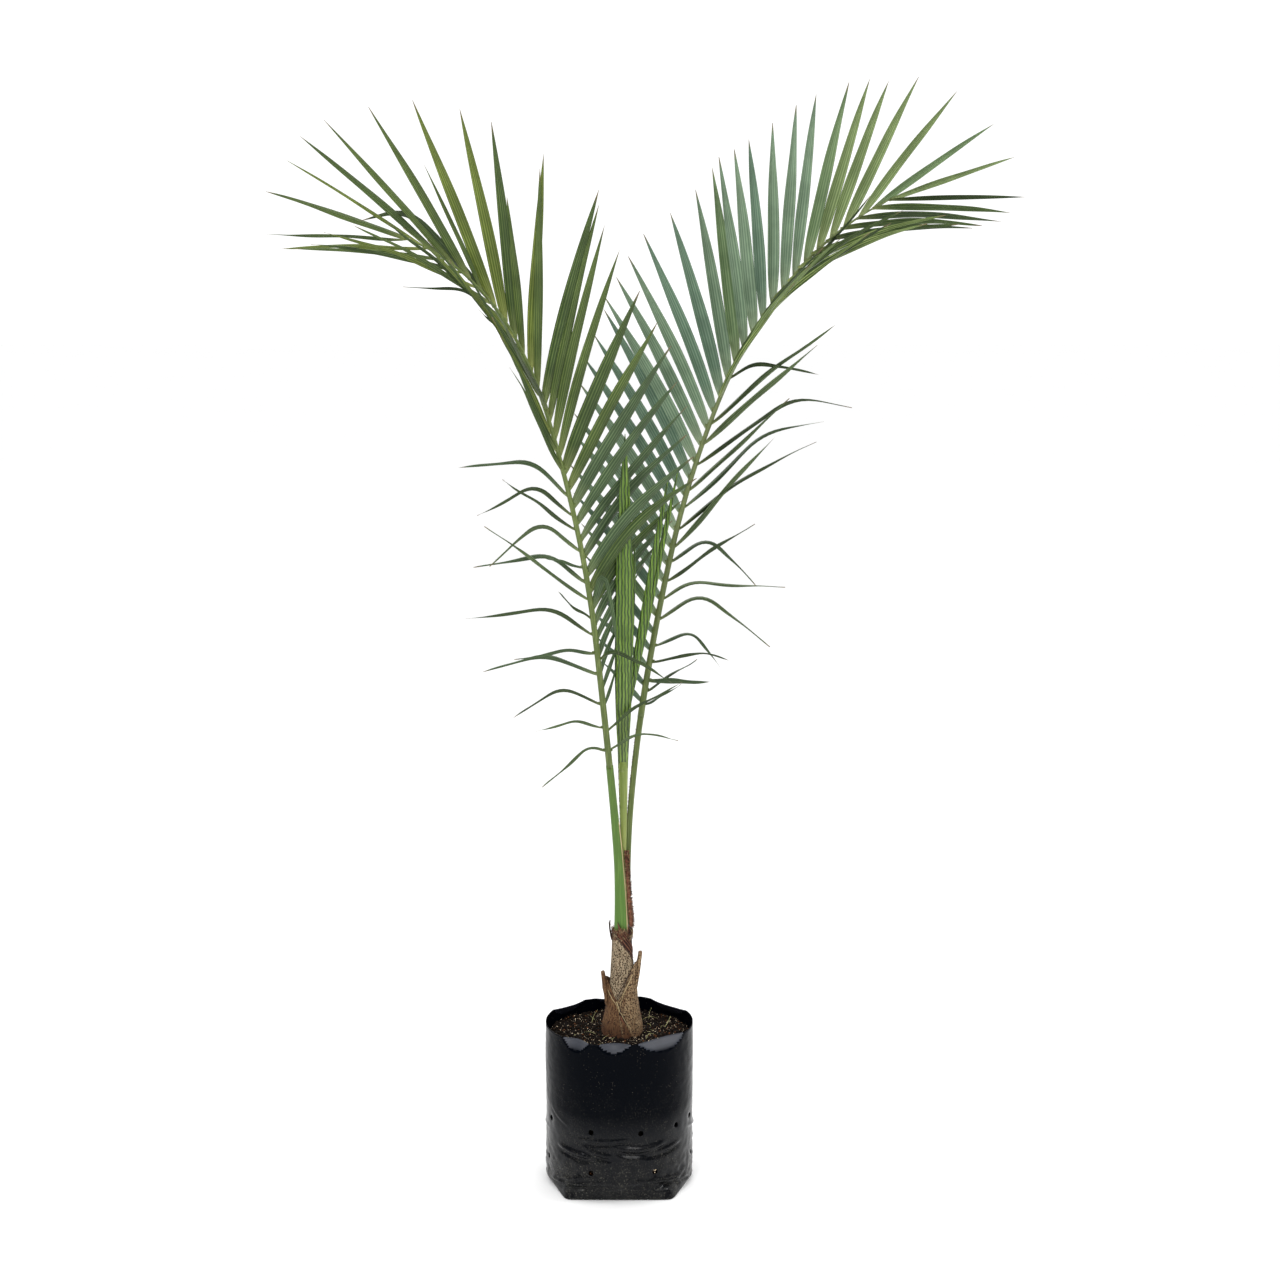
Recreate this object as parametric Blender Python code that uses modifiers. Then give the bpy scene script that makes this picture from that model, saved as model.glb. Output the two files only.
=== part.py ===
# Young majesty palm with two arching feather leaves and an unopened spear,
# standing in a soil-filled grow bag of black film.
# Metres, +Z up. The origin is the middle of the bag's flat underside.
# One leaf arches to -X and a little to -Y, the other to +X and a little to +Y.

import math
import random

import bmesh
import bpy
from mathutils import Matrix, Vector
from mathutils.bvhtree import BVHTree

GAP = 0.0004  # clearance between neighbouring solids

# Grow bag: a round tube of film whose flat foot is folded to six sides
BAG_RADIUS = 0.100
BAG_HEIGHT = 0.221
BAG_SIDES = 72
BAG_LEVELS = 12
LEVEL_CROWDING = 2.0  # levels lie closer together towards the foot
FILM = 0.001
FOOT_FRONT = 0.0870  # from the middle to the foot's straight front and back edges
FOOT_SLANT = 0.0953  # and to its four slanting edges
FOOT_SLANT_TURN = 17.4
FOOT_POINT = 0.0978  # and to its blunted points at the left and right
FOOT_CORNERS = 24.0  # how sharp the foot's corners are
FOLD_LOW = 0.0060  # height of the folds at the sides
FOLD_RISE = 0.0205  # and how much higher they reach in front and behind
FOOT_ROUNDING = 0.0015
HOLE_RADIUS = 0.0036
HOLE_SIDES = 8
HOLE_CUTTER_DEPTH = 0.012
UPPER_HOLES = (0.097, (-157, -112, -73, -40, -17, 22, 63, 104, 150))
LOWER_HOLES = (0.040, (-163, -112, -61, -10, 42, 95, 146))

# Potting soil
SOIL_LEVEL = 0.2035
SOIL_CLEARANCE = 0.0014

# Stem, and the two old leaf bases wrapped round its foot
STEM_X = 0.0040
STEM_FOOT = SOIL_LEVEL + GAP
STEM_SIDES = 24
STEM_PROFILE = (  # height, radius
    (0.3520, 0.0112),
    (0.3500, 0.0134),
    (0.3300, 0.0140),
    (0.3132, 0.0147),
    (0.2850, 0.0163),
    (0.2512, 0.0192),
    (0.2300, 0.0218),
    (0.2100, 0.0240),
    (STEM_FOOT, 0.0247),
)
SHEATH_FOOT = 0.0030  # thickness of an old leaf base at the soil
SHEATH_RIM = 0.0016
SHEATH_VALLEY = 0.2545  # height of the notch between the two bases
SHEATH_PEAK = {"left": 0.2790, "right": 0.3040}
STUB_TIP = {"left": (-0.0225, -0.0040, 0.2915), "right": (0.0285, -0.0010, 0.3185)}
STUB_RADII = (0.0042, 0.0028)
STUB_SIDES = 8
STUB_ROOT_DROP = 0.0100  # below the sheath's peak
STUB_ROOT_OUT = 0.0052  # outwards from the stem's surface
STUB_ROOT_Y = -0.0010
NOTCH_ANGLE = -108.0  # where the two bases meet in front, at the notch
FOOT_ANGLE = -84.0  # and at the soil, where the left one laps over
BACK_ANGLE = 90.0
CREST_POWER = 1.4
BASE_SLICES = (14, 6)  # round the stem and up it

# Leaf stalks and ribs. A rib leans outwards by an angle that grows along it,
# given at a few places on its length.
STALK_TOP = 0.225  # place on the rib's length where the leaflets begin
RIB_STEPS = 200
DEPTH_POWER = 1.5  # a rib leaves the picture's plane slowly, then faster
FRAME_REACH = 0.01  # either side of a place, where a rib's heading is read
FRONDS = {
    "left": dict(
        side=-1,
        foot=(0.0025, -0.0040, 0.3580),
        length=0.984,
        lean=(
            (0.00, 0.3),
            (0.12, 5.0),
            (0.40, 6.2),
            (0.55, 11.6),
            (0.70, 16.0),
            (0.80, 25.3),
            (0.90, 44.4),
            (1.00, 67.3),
        ),
        depth=-0.100,
        below=0.0044,
        split=0.616,
        seed=4,
    ),
    "right": dict(
        side=1,
        foot=(0.0106, 0.0095, 0.4134),
        length=1.011,
        lean=(
            (0.00, 1.0),
            (0.12, 5.1),
            (0.25, 9.0),
            (0.45, 13.0),
            (0.65, 22.7),
            (0.85, 41.6),
            (1.00, 64.3),
        ),
        depth=0.140,
        below=0.0600,
        split=0.643,
        seed=9,
    ),
}
# Stalk half widths across and through the blade, by place on the rib
STALK_SIZES = {
    "left": (
        (0.0, 0.0092, 0.0052),
        (0.08, 0.0066, 0.0050),
        (0.16, 0.0053, 0.0046),
        (0.24, 0.0048, 0.0043),
    ),
    "right": (
        (-0.06, 0.0050, 0.0034),
        (0.08, 0.0040, 0.0040),
        (0.24, 0.0042, 0.0042),
    ),
}
STALK_SIDES = 10
STALK_SLICES = 9
RIB_SIZES = ((0.22, 0.0045), (0.50, 0.0036), (0.75, 0.0025), (0.93, 0.0016), (1.0, 0.0010))
RIB_SIDES = 6
RIB_SLICES = 12

# Leaflets that follow a rule along the rib. Each stop gives the place on the
# rib, the launch angle from the rib, the roll round the rib out of the
# blade's plane, the length, the width, the droop and the twist.
ROWS = {
    ("left", "inner"): (31, 0.300, (
        (0.300, 28, 38, 0.105, 0.010, 6, 30),
        (0.350, 31, 38, 0.130, 0.013, 10, 20),
        (0.393, 37, 34, 0.163, 0.016, 19, 14),
        (0.440, 41, 30, 0.197, 0.019, 22, 12),
        (0.463, 38, 4, 0.205, 0.020, 24, 12),
        (0.487, 40, 2, 0.211, 0.020, 19, 12),
        (0.510, 49, 30, 0.223, 0.021, 14, 12),
        (0.533, 52, 30, 0.227, 0.018, 6, 12),
        (0.557, 42, 0, 0.230, 0.018, 6, 12),
        (0.580, 40, 0, 0.241, 0.019, 5, 12),
        (0.603, 38, 0, 0.246, 0.019, 5, 12),
        (0.627, 34, 0, 0.257, 0.021, 5, 12),
        (0.650, 29, 0, 0.281, 0.015, 5, 12),
        (0.697, 27, 0, 0.284, 0.015, 5, 12),
        (0.720, 29, 0, 0.281, 0.020, 5, 12),
        (0.743, 22, 0, 0.277, 0.014, 5, 12),
        (0.767, 26, 0, 0.274, 0.017, 5, 12),
        (0.790, 20, 0, 0.202, 0.013, 5, 12),
        (0.813, 25, 0, 0.266, 0.018, 5, 12),
        (0.837, 22, 0, 0.271, 0.017, 5, 12),
        (0.860, 18, 0, 0.276, 0.017, 4, 12),
        (0.883, 18, 0, 0.170, 0.007, 4, 12),
        (0.907, 17, 0, 0.248, 0.013, 4, 14),
        (0.930, 12, 0, 0.236, 0.011, 4, 14),
        (0.953, 10, 0, 0.225, 0.011, 4, 16),
        (0.977, 5, 0, 0.207, 0.005, 4, 20),
        (1.000, -4, 0, 0.181, 0.010, 3, 30),
    )),
    ("left", "outer"): (15, 0.630, (
        (0.630, 26, 80, 0.190, 0.015, 6, 12),
        (0.740, 28, 82, 0.220, 0.016, 6, 12),
        (0.860, 28, 66, 0.225, 0.014, 10, 12),
        (0.930, 28, 44, 0.205, 0.012, 14, 14),
        (0.965, 28, 22, 0.185, 0.010, 8, 16),
        (1.000, 22, 5, 0.175, 0.009, 5, 40),
    )),
    ("right", "inner"): (34, 0.240, (
        (0.240, 50, 5, 0.080, 0.008, 8, 20),
        (0.330, 49, 5, 0.140, 0.013, 6, 14),
        (0.390, 48, 5, 0.195, 0.016, 5, 12),
        (0.460, 46, 5, 0.235, 0.018, 5, 12),
        (0.530, 41, 5, 0.256, 0.019, 5, 12),
        (0.585, 45, 5, 0.250, 0.019, 5, 12),
        (0.620, 43, 5, 0.259, 0.019, 5, 12),
        (0.655, 36, 5, 0.258, 0.020, 5, 12),
        (0.690, 32, 5, 0.268, 0.020, 4, 12),
        (0.747, 36, 5, 0.250, 0.020, 4, 12),
        (0.840, 33, 5, 0.248, 0.019, 4, 12),
        (0.885, 30, 5, 0.244, 0.018, 4, 12),
        (0.920, 29, 5, 0.231, 0.017, 4, 12),
        (0.945, 25, 5, 0.225, 0.015, 4, 12),
        (0.965, 16, 5, 0.218, 0.012, 4, 14),
        (0.980, 6, 5, 0.207, 0.011, 4, 16),
        (1.000, -8, 5, 0.186, 0.010, 3, 20),
    )),
    ("right", "outer"): (15, 0.648, (
        (0.648, 30, 84, 0.200, 0.014, 12, 14),
        (0.700, 36, 82, 0.215, 0.015, 10, 12),
        (0.780, 42, 76, 0.225, 0.016, 10, 12),
        (0.870, 46, 62, 0.220, 0.016, 12, 12),
        (0.930, 44, 48, 0.195, 0.014, 12, 12),
        (0.970, 38, 38, 0.190, 0.013, 8, 14),
        (1.000, 28, 28, 0.180, 0.011, 4, 30),
    )),
}
DROOP_SPREAD = 0.5

# Leaflets that stand by themselves or are folded over: row, place, launch,
# roll, length, width, fold place, droop and twist.
SINGLES = {
    "left": (
        ("outer", 0.246, 63, 0, 0.109, 0.008, 0.22, 64, 60),
        ("outer", 0.278, 63, 12, 0.096, 0.008, 0.40, 33, 60),
        ("outer", 0.311, 59, 0, 0.134, 0.009, 0.45, 60, 60),
        ("outer", 0.353, 65, -10, 0.164, 0.010, 0.48, 39, 60),
        ("outer", 0.383, 72, 15, 0.113, 0.010, 0.37, 21, 60),
        ("outer", 0.406, 46, -5, 0.181, 0.011, 0.35, 46, 60),
        ("outer", 0.430, 48, 25, 0.063, 0.008, 0.50, -11, 60),
        ("outer", 0.454, 43, 5, 0.170, 0.010, 0.50, 4, 65),
        ("outer", 0.479, 42, -8, 0.161, 0.011, 0.38, 51, 60),
        ("outer", 0.500, 59, 20, 0.057, 0.008, 0.50, 6, 60),
        ("outer", 0.521, 36, 5, 0.153, 0.011, 0.42, 84, 60),
        ("outer", 0.551, 40, 10, 0.119, 0.010, 0.50, 6, 65),
        ("outer", 0.570, 34, -5, 0.147, 0.011, 0.42, 74, 60),
        ("outer", 0.598, 30, 10, 0.162, 0.012, 0.42, 52, 60),
        ("outer", 0.803, 19, 5, 0.070, 0.007, 0.50, 4, 60),
        ("outer", 0.835, 16, 5, 0.145, 0.009, 0.48, 42, 50),
        ("inner", 0.243, 61, 0, 0.100, 0.008, 0.45, 42, 60),
        ("inner", 0.272, 60, 10, 0.120, 0.009, 0.50, 10, 50),
        ("inner", 0.370, 52, -35, 0.135, 0.011, 0.20, 55, 20),
        ("inner", 0.440, 26, -35, 0.155, 0.014, 0.34, 140, 20),
        ("inner", 0.872, -2, -30, 0.205, 0.015, 0.72, 62, 20),
    ),
    "right": (
        ("outer", 0.238, 54, 10, 0.059, 0.007, 0.50, 4, 60),
        ("outer", 0.256, 49, -15, 0.084, 0.008, 0.50, 5, 60),
        ("outer", 0.272, 82, 10, 0.086, 0.011, 0.50, 4, 30),
        ("outer", 0.296, 69, 10, 0.110, 0.009, 0.72, 30, 55),
        ("outer", 0.316, 57, -5, 0.122, 0.010, 0.47, 76, 60),
        ("outer", 0.351, 44, 5, 0.185, 0.011, 0.37, 77, 60),
        ("outer", 0.378, 43, -10, 0.180, 0.010, 0.25, 42, 65),
        ("outer", 0.402, 43, 15, 0.143, 0.010, 0.50, 4, 60),
        ("outer", 0.428, 42, -5, 0.154, 0.011, 0.40, 82, 60),
        ("outer", 0.446, 28, 10, 0.202, 0.013, 0.50, 3, 50),
        ("outer", 0.471, 36, 5, 0.221, 0.011, 0.48, 14, 62),
        ("outer", 0.499, 31, -5, 0.234, 0.012, 0.64, 33, 60),
        ("outer", 0.524, 31, 15, 0.182, 0.012, 0.50, 4, 62),
        ("outer", 0.559, 36, 5, 0.237, 0.012, 0.66, 51, 60),
        ("outer", 0.588, 30, 25, 0.200, 0.013, 0.50, 6, 60),
        ("outer", 0.617, 27, 10, 0.213, 0.013, 0.50, 10, 55),
        ("outer", 0.679, 31, 20, 0.128, 0.009, 0.32, 47, 50),
        ("outer", 0.772, 9, 25, 0.214, 0.009, 0.50, 0, 60),
    ),
}
FOLD_SPREAD = 0.18
CREASED_FROM = 100.0  # droop past which the fold is a sharp crease
CREASE_SPREAD = 0.07
MIDDLE = 0.5  # where a leaflet that isn't folded bends the most
LAUNCH_SPREAD = 1.5  # natural scatter, in degrees
ROLL_SPREAD = 4.0
LENGTH_SPREAD = 0.02
LEAF_SIDES = 4
LEAF_SLICES = 5
FOLDED_SLICES = 8
FOLDED_FROM = 15.0  # droop past which a leaflet takes the finer slicing
STEPS_PER_SLICE = 4
THICKNESS_SHARE = 0.0105  # of a leaflet's length
LEAST_THICKNESS = 0.0014
LEAST_DEPTH_SHARE = 0.35  # of its thickness, kept at a leaflet's tip
TIP_SHARE = 0.05
BLADE_SCALE = 2.226  # brings the widest place of the outline to 1
BLADE_ROOT = 0.02
BLADE_SWELL = 0.45
BLADE_TAPER = 0.95
SIDESTEPS = (0, 5, -5, 10, -10, 16, -16, 24, -24, 32, -32)  # turns tried, to stay clear

# Unopened leaves in the middle: foot, tip, half width, half depth and the
# share of the length where the blade is widest
CENTRE_STALK = ((0.0060, 0.0040, 0.4250), (0.0054, 0.0030, 0.5700), 0.0030, 0.0066)
SPEAR_BLADES = (
    ((0.0054, 0.0030, 0.5708), (0.0088, -0.0360, 1.0200), 0.0098, 0.0042, 0.32),
    ((0.0044, 0.0030, 0.6000), (0.0215, -0.0120, 0.8750), 0.0052, 0.0034, 0.30),
    ((0.0060, 0.0020, 0.6200), (0.0657, -0.0080, 0.9669), 0.0042, 0.0030, 0.35),
    ((0.0070, 0.0030, 0.6300), (0.0787, 0.0000, 0.9748), 0.0038, 0.0030, 0.35),
)
CENTRE_STALK_SIDES = 8
CENTRE_STALK_SLICES = 3
CENTRE_STALK_DEPTH = 0.8  # of its width
SPEAR_FOOT_SHARE = 0.70
SPEAR_TAPER = 2.8
SPEAR_SIDES = 6
SPEAR_SLICES = 8

# Strip of red-brown fibre on the right margin of the left leaf's stalk
FIBRE_PATH = (
    (0.0162, -0.0030, 0.3540),
    (0.0140, -0.0045, 0.3850),
    (0.0106, -0.0055, 0.4300),
    (0.0088, -0.0050, 0.4600),
)
FIBRE_HALF = (0.0023, 0.0011)
FIBRE_SIDES = 6

COLOURS = {  # colour, roughness
    "grow_bag": ((0.012, 0.013, 0.015), 0.30),
    "potting_soil": ((0.030, 0.019, 0.012), 0.95),
    "stem": ((0.260, 0.205, 0.140), 0.85),
    "leaf_base": ((0.130, 0.075, 0.040), 0.80),
    "stalk": ((0.085, 0.130, 0.035), 0.45),
    "spear": ((0.160, 0.300, 0.045), 0.40),
    "fibre": ((0.160, 0.055, 0.030), 0.90),
    "left": ((0.060, 0.105, 0.032), 0.45),
    "right": ((0.095, 0.160, 0.095), 0.50),
}


def clear_scene():
    for item in list(bpy.data.objects):
        bpy.data.objects.remove(item)


def new_collection(name):
    group = bpy.data.collections.new(name)
    bpy.context.scene.collection.children.link(group)
    return group


def material(name):
    made = bpy.data.materials.get(name)
    if made:
        return made
    colour, rough = COLOURS[name]
    made = bpy.data.materials.new(name)
    made.use_nodes = True
    shader = made.node_tree.nodes["Principled BSDF"]
    shader.inputs["Base Color"].default_value = (*colour, 1.0)
    shader.inputs["Roughness"].default_value = rough
    shader.inputs["Metallic"].default_value = 0.0
    return made


def add_object(name, bm, group, finish=None):
    if bm.calc_volume(signed=True) < 0.0:
        bmesh.ops.reverse_faces(bm, faces=bm.faces)
    mesh = bpy.data.meshes.new(name)
    bm.to_mesh(mesh)
    bm.free()
    mesh.shade_smooth()
    mesh.set_sharp_from_angle(angle=math.radians(40))
    item = bpy.data.objects.new(name, mesh)
    group.objects.link(item)
    if finish:
        mesh.materials.append(material(finish))
    return item


def bake(item):
    """Turn an object's live modifiers into its mesh."""
    bpy.context.view_layer.update()
    seen = item.evaluated_get(bpy.context.evaluated_depsgraph_get())
    mesh = bpy.data.meshes.new_from_object(seen)
    item.modifiers.clear()
    item.data = mesh
    return item


def smooth_step(x):
    x = min(max(x, 0.0), 1.0)
    return x * x * (3.0 - 2.0 * x)


def between(stops, place):
    """Values at a place, read in straight lines between the stops."""
    for low, high in zip(stops, stops[1:]):
        if place <= high[0]:
            share = max((place - low[0]) / (high[0] - low[0]), 0.0)
            return [a + (b - a) * share for a, b in zip(low, high)]
    return list(stops[-1])


# Grow bag and soil


def foot_radius(angle):
    """Radius of the flat foot: six straight edges with slightly rounded corners."""
    sideways, forward = abs(math.cos(angle)), abs(math.sin(angle))
    turn = math.radians(FOOT_SLANT_TURN)
    edges = (
        forward / FOOT_FRONT,
        (sideways * math.cos(turn) + forward * math.sin(turn)) / FOOT_SLANT,
        sideways / FOOT_POINT,
    )
    return sum(edge ** FOOT_CORNERS for edge in edges) ** (-1.0 / FOOT_CORNERS)


def bag_radius(angle, height):
    """Radius of the bag's outer face: round above, drawn to the folded foot below."""
    fold = FOLD_LOW + FOLD_RISE * math.sin(angle) ** 2
    share = max(0.0, 1.0 - height / fold)
    tuck = FOOT_ROUNDING * max(0.0, 1.0 - height / FOOT_ROUNDING) ** 2
    return BAG_RADIUS + (foot_radius(angle) - BAG_RADIUS) * share - tuck


def bag_form(low, high, inset, open_top):
    """A cylinder with level rings, drawn to the bag's outline between two heights."""
    bm = bmesh.new()
    bmesh.ops.create_cone(bm, cap_ends=True, segments=BAG_SIDES, radius1=1.0, radius2=1.0, depth=1.0)
    bmesh.ops.translate(bm, verts=bm.verts, vec=(0.0, 0.0, 0.5))
    if open_top:
        lid = [face for face in bm.faces if face.normal.z > 0.9]
        bmesh.ops.delete(bm, geom=lid, context="FACES_ONLY")
    for level in range(1, BAG_LEVELS):
        height = (level / BAG_LEVELS) ** LEVEL_CROWDING
        geometry = list(bm.verts) + list(bm.edges) + list(bm.faces)
        bmesh.ops.bisect_plane(bm, geom=geometry, plane_co=(0.0, 0.0, height), plane_no=(0.0, 0.0, 1.0))
    for vert in bm.verts:
        angle = math.atan2(vert.co.y, vert.co.x)
        height = low + (high - low) * vert.co.z
        radius = min(bag_radius(angle, height - low), bag_radius(angle, height)) - inset
        vert.co = (radius * math.cos(angle), radius * math.sin(angle), height)
    return bm


def hole_cutter(group):
    bm = bmesh.new()
    for height, angles in (UPPER_HOLES, LOWER_HOLES):
        for degrees in angles:
            angle = math.radians(degrees)
            radius = bag_radius(angle, height)
            place = Matrix.Translation((radius * math.cos(angle), radius * math.sin(angle), height))
            turn = Matrix.Rotation(angle, 4, "Z") @ Matrix.Rotation(math.pi / 2, 4, "Y")
            bmesh.ops.create_cone(
                bm, cap_ends=True, segments=HOLE_SIDES, radius1=HOLE_RADIUS, radius2=HOLE_RADIUS,
                depth=HOLE_CUTTER_DEPTH, matrix=place @ turn,
            )
    cutter = add_object("drain_hole_cutter", bm, group)
    cutter.hide_render = True
    cutter.display_type = "WIRE"
    return cutter


def make_bag(group, cutters):
    bag = add_object("grow_bag", bag_form(0.0, BAG_HEIGHT, 0.0, True), group, "grow_bag")
    wall = bag.modifiers.new("film", "SOLIDIFY")
    wall.thickness = FILM
    wall.offset = -1.0
    wall.use_even_offset = True
    holes = bag.modifiers.new("drain_holes", "BOOLEAN")
    holes.operation = "DIFFERENCE"
    holes.object = hole_cutter(cutters)
    return bag


def make_soil(group):
    bm = bag_form(FILM + SOIL_CLEARANCE, SOIL_LEVEL, FILM + SOIL_CLEARANCE, False)
    return add_object("potting_soil", bm, group, "potting_soil")


# Stem and old leaf bases


def stem_radius(height):
    stops = tuple(reversed(STEM_PROFILE))
    return between(stops, height)[1]


def make_stem(group):
    bm = bmesh.new()
    outline = [(STEM_PROFILE[0][0], 0.0), *STEM_PROFILE, (STEM_FOOT, 0.0)]
    corners = [bm.verts.new((radius, 0.0, height)) for height, radius in outline]
    for upper, lower in zip(corners, corners[1:]):
        bm.edges.new((upper, lower))
    mesh = bpy.data.meshes.new("stem")
    bm.to_mesh(mesh)
    bm.free()
    stem = bpy.data.objects.new("stem", mesh)
    stem.location.x = STEM_X
    group.objects.link(stem)
    mesh.materials.append(material("stem"))
    turn = stem.modifiers.new("turned", "SCREW")
    turn.steps = STEM_SIDES
    turn.render_steps = STEM_SIDES
    turn.use_merge_vertices = True
    turn.merge_threshold = 0.00005
    turn.use_smooth_shade = True
    return stem


def sliced_block(across, along):
    """A unit cube from 0 to 1, sliced across X and along Z."""
    bm = bmesh.new()
    bmesh.ops.create_cube(bm, size=1.0)
    bmesh.ops.translate(bm, verts=bm.verts, vec=(0.5, 0.5, 0.5))
    for count, axis in ((across, 0), (along, 2)):
        for k in range(1, count):
            point = Vector((0.0, 0.0, 0.0))
            normal = Vector((0.0, 0.0, 0.0))
            point[axis] = k / count
            normal[axis] = 1.0
            geometry = list(bm.verts) + list(bm.edges) + list(bm.faces)
            bmesh.ops.bisect_plane(bm, geom=geometry, plane_co=point, plane_no=normal)
    return bm


def make_leaf_base(side, group):
    """Old sheath wrapped round one half of the stem's foot, with the stub of its cut stalk."""
    sign = -1 if side == "left" else 1
    bm = sliced_block(*BASE_SLICES)
    for vert in bm.verts:
        round_share, depth_share, height_share = vert.co
        crest = max(math.sin(math.pi * round_share), 0.0) ** CREST_POWER
        top = SHEATH_VALLEY + (SHEATH_PEAK[side] - SHEATH_VALLEY) * crest
        height = STEM_FOOT + (top - STEM_FOOT) * height_share
        rise = min((height - STEM_FOOT) / (SHEATH_VALLEY - STEM_FOOT), 1.0)
        front = math.radians(FOOT_ANGLE + (NOTCH_ANGLE - FOOT_ANGLE) * rise)
        margin = GAP / stem_radius(height)
        start = front + sign * margin
        end = math.radians(BACK_ANGLE) - sign * margin
        if sign < 0:
            end -= 2.0 * math.pi
        angle = start + (end - start) * round_share
        thick = SHEATH_FOOT + (SHEATH_RIM - SHEATH_FOOT) * height_share
        radius = stem_radius(height) + GAP + thick * depth_share
        vert.co = (STEM_X + radius * math.cos(angle), radius * math.sin(angle), height)
    base = add_object(f"leaf_base_{side}", bm, group, "leaf_base")
    tip = Vector(STUB_TIP[side])
    root_height = SHEATH_PEAK[side] - STUB_ROOT_DROP
    root_radius = stem_radius(root_height) + STUB_ROOT_OUT
    root = Vector((STEM_X + sign * root_radius, STUB_ROOT_Y, root_height))
    cone = bmesh.new()
    turn = (tip - root).to_track_quat("Z", "X").to_matrix().to_4x4()
    bmesh.ops.create_cone(
        cone, cap_ends=True, segments=STUB_SIDES, radius1=STUB_RADII[0], radius2=STUB_RADII[1],
        depth=(tip - root).length, matrix=Matrix.Translation((root + tip) / 2) @ turn,
    )
    stub = add_object(f"stub_{side}", cone, group, "leaf_base")
    join = base.modifiers.new("stub", "BOOLEAN")
    join.operation = "UNION"
    join.object = stub
    bake(base)
    bpy.data.objects.remove(stub)
    return base


# Stalks and ribs


def rib_points(name):
    frond = FRONDS[name]
    step = frond["length"] / RIB_STEPS
    x, y, z = frond["foot"]
    points = []
    for k in range(RIB_STEPS + 1):
        share = k / RIB_STEPS
        points.append(Vector((x, y + frond["depth"] * share ** DEPTH_POWER, z)))
        lean = math.radians(between(frond["lean"], (k + 0.5) / RIB_STEPS)[1])
        x += frond["side"] * math.sin(lean) * step
        z += math.cos(lean) * step
    return points


RIBS = {name: rib_points(name) for name in FRONDS}


def rib_at(name, place):
    """Point on a rib. Below its foot the stalk runs straight on."""
    points = RIBS[name]
    if place < 0.0:
        return points[0] + (points[1] - points[0]).normalized() * place * FRONDS[name]["length"]
    scaled = min(place, 1.0) * RIB_STEPS
    k = min(int(scaled), RIB_STEPS - 1)
    return points[k].lerp(points[k + 1], scaled - k)


def rib_frame(name, place):
    """Directions along the rib, to the blade's inner side and to its upper face."""
    ahead = rib_at(name, min(place + FRAME_REACH, 1.0))
    behind = rib_at(name, min(place, 1.0 - FRAME_REACH) - FRAME_REACH)
    along = (ahead - behind).normalized()
    side = FRONDS[name]["side"]
    inward = Vector((-side * along.z, 0.0, side * along.x))
    inward = (inward - along * inward.dot(along)).normalized()
    face = along.cross(inward)
    if face.y > 0.0:
        face.negate()
    return along, inward, face


def lofted(path, sides, slices):
    """A closed limb: a prism sliced along its length, drawn along a path.
    path(share) gives the centre, the half width vector and the half depth vector."""
    bm = bmesh.new()
    bmesh.ops.create_cone(bm, cap_ends=True, segments=sides, radius1=1.0, radius2=1.0, depth=1.0)
    bmesh.ops.translate(bm, verts=bm.verts, vec=(0.0, 0.0, 0.5))
    for k in range(1, slices):
        geometry = list(bm.verts) + list(bm.edges) + list(bm.faces)
        bmesh.ops.bisect_plane(bm, geom=geometry, plane_co=(0.0, 0.0, k / slices), plane_no=(0.0, 0.0, 1.0))
    for vert in bm.verts:
        centre, wide, deep = path(vert.co.z)
        vert.co = centre + wide * vert.co.x + deep * vert.co.y
    return bm


def rib_path(name, start, end, size):
    def path(share):
        place = start + (end - start) * share
        _, inward, face = rib_frame(name, place)
        sizes = size(place)
        return rib_at(name, place), inward * sizes[0], face * sizes[1]
    return path


def make_stalk(name, group):
    frond = FRONDS[name]
    start = -frond["below"] / frond["length"]
    path = rib_path(name, start, STALK_TOP, lambda place: between(STALK_SIZES[name], place)[1:])
    return add_object(f"petiole_{name}", lofted(path, STALK_SIDES, STALK_SLICES), group, "stalk")


def rib_size(place):
    half = between(RIB_SIZES, place)[1]
    return half, half


def straight_path(foot, tip, size):
    foot, tip = Vector(foot), Vector(tip)
    along = (tip - foot).normalized()
    wide = Vector((along.z, 0.0, -along.x)).normalized()
    deep = along.cross(wide)

    def path(share):
        half_width, half_depth = size(share)
        return foot.lerp(tip, share), wide * half_width, deep * half_depth
    return path


def make_centre_stalk(group):
    foot, tip, low, high = CENTRE_STALK

    def size(share):
        half = low + (high - low) * share
        return half, half * CENTRE_STALK_DEPTH
    limb = lofted(straight_path(foot, tip, size), CENTRE_STALK_SIDES, CENTRE_STALK_SLICES)
    return add_object("petiole_centre", limb, group, "stalk")


def spear_size(half_width, half_depth, widest):
    def size(share):
        if share < widest:
            swell = SPEAR_FOOT_SHARE + (1.0 - SPEAR_FOOT_SHARE) * smooth_step(share / widest)
        else:
            fall = ((share - widest) / (1.0 - widest)) ** SPEAR_TAPER
            swell = 1.0 - (1.0 - TIP_SHARE) * fall
        return half_width * swell, half_depth * swell
    return size


def join_all(item, others, solver="EXACT"):
    """One Boolean union of an object with a list of others, which are then removed."""
    group = new_collection(item.name + "_parts")
    for other in others:
        for holder in list(other.users_collection):
            holder.objects.unlink(other)
        group.objects.link(other)
    join = item.modifiers.new("joined", "BOOLEAN")
    join.operation = "UNION"
    join.solver = solver
    join.operand_type = "COLLECTION"
    join.collection = group
    bake(item)
    for other in list(group.objects):
        bpy.data.objects.remove(other)
    bpy.data.collections.remove(group)
    return item


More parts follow.
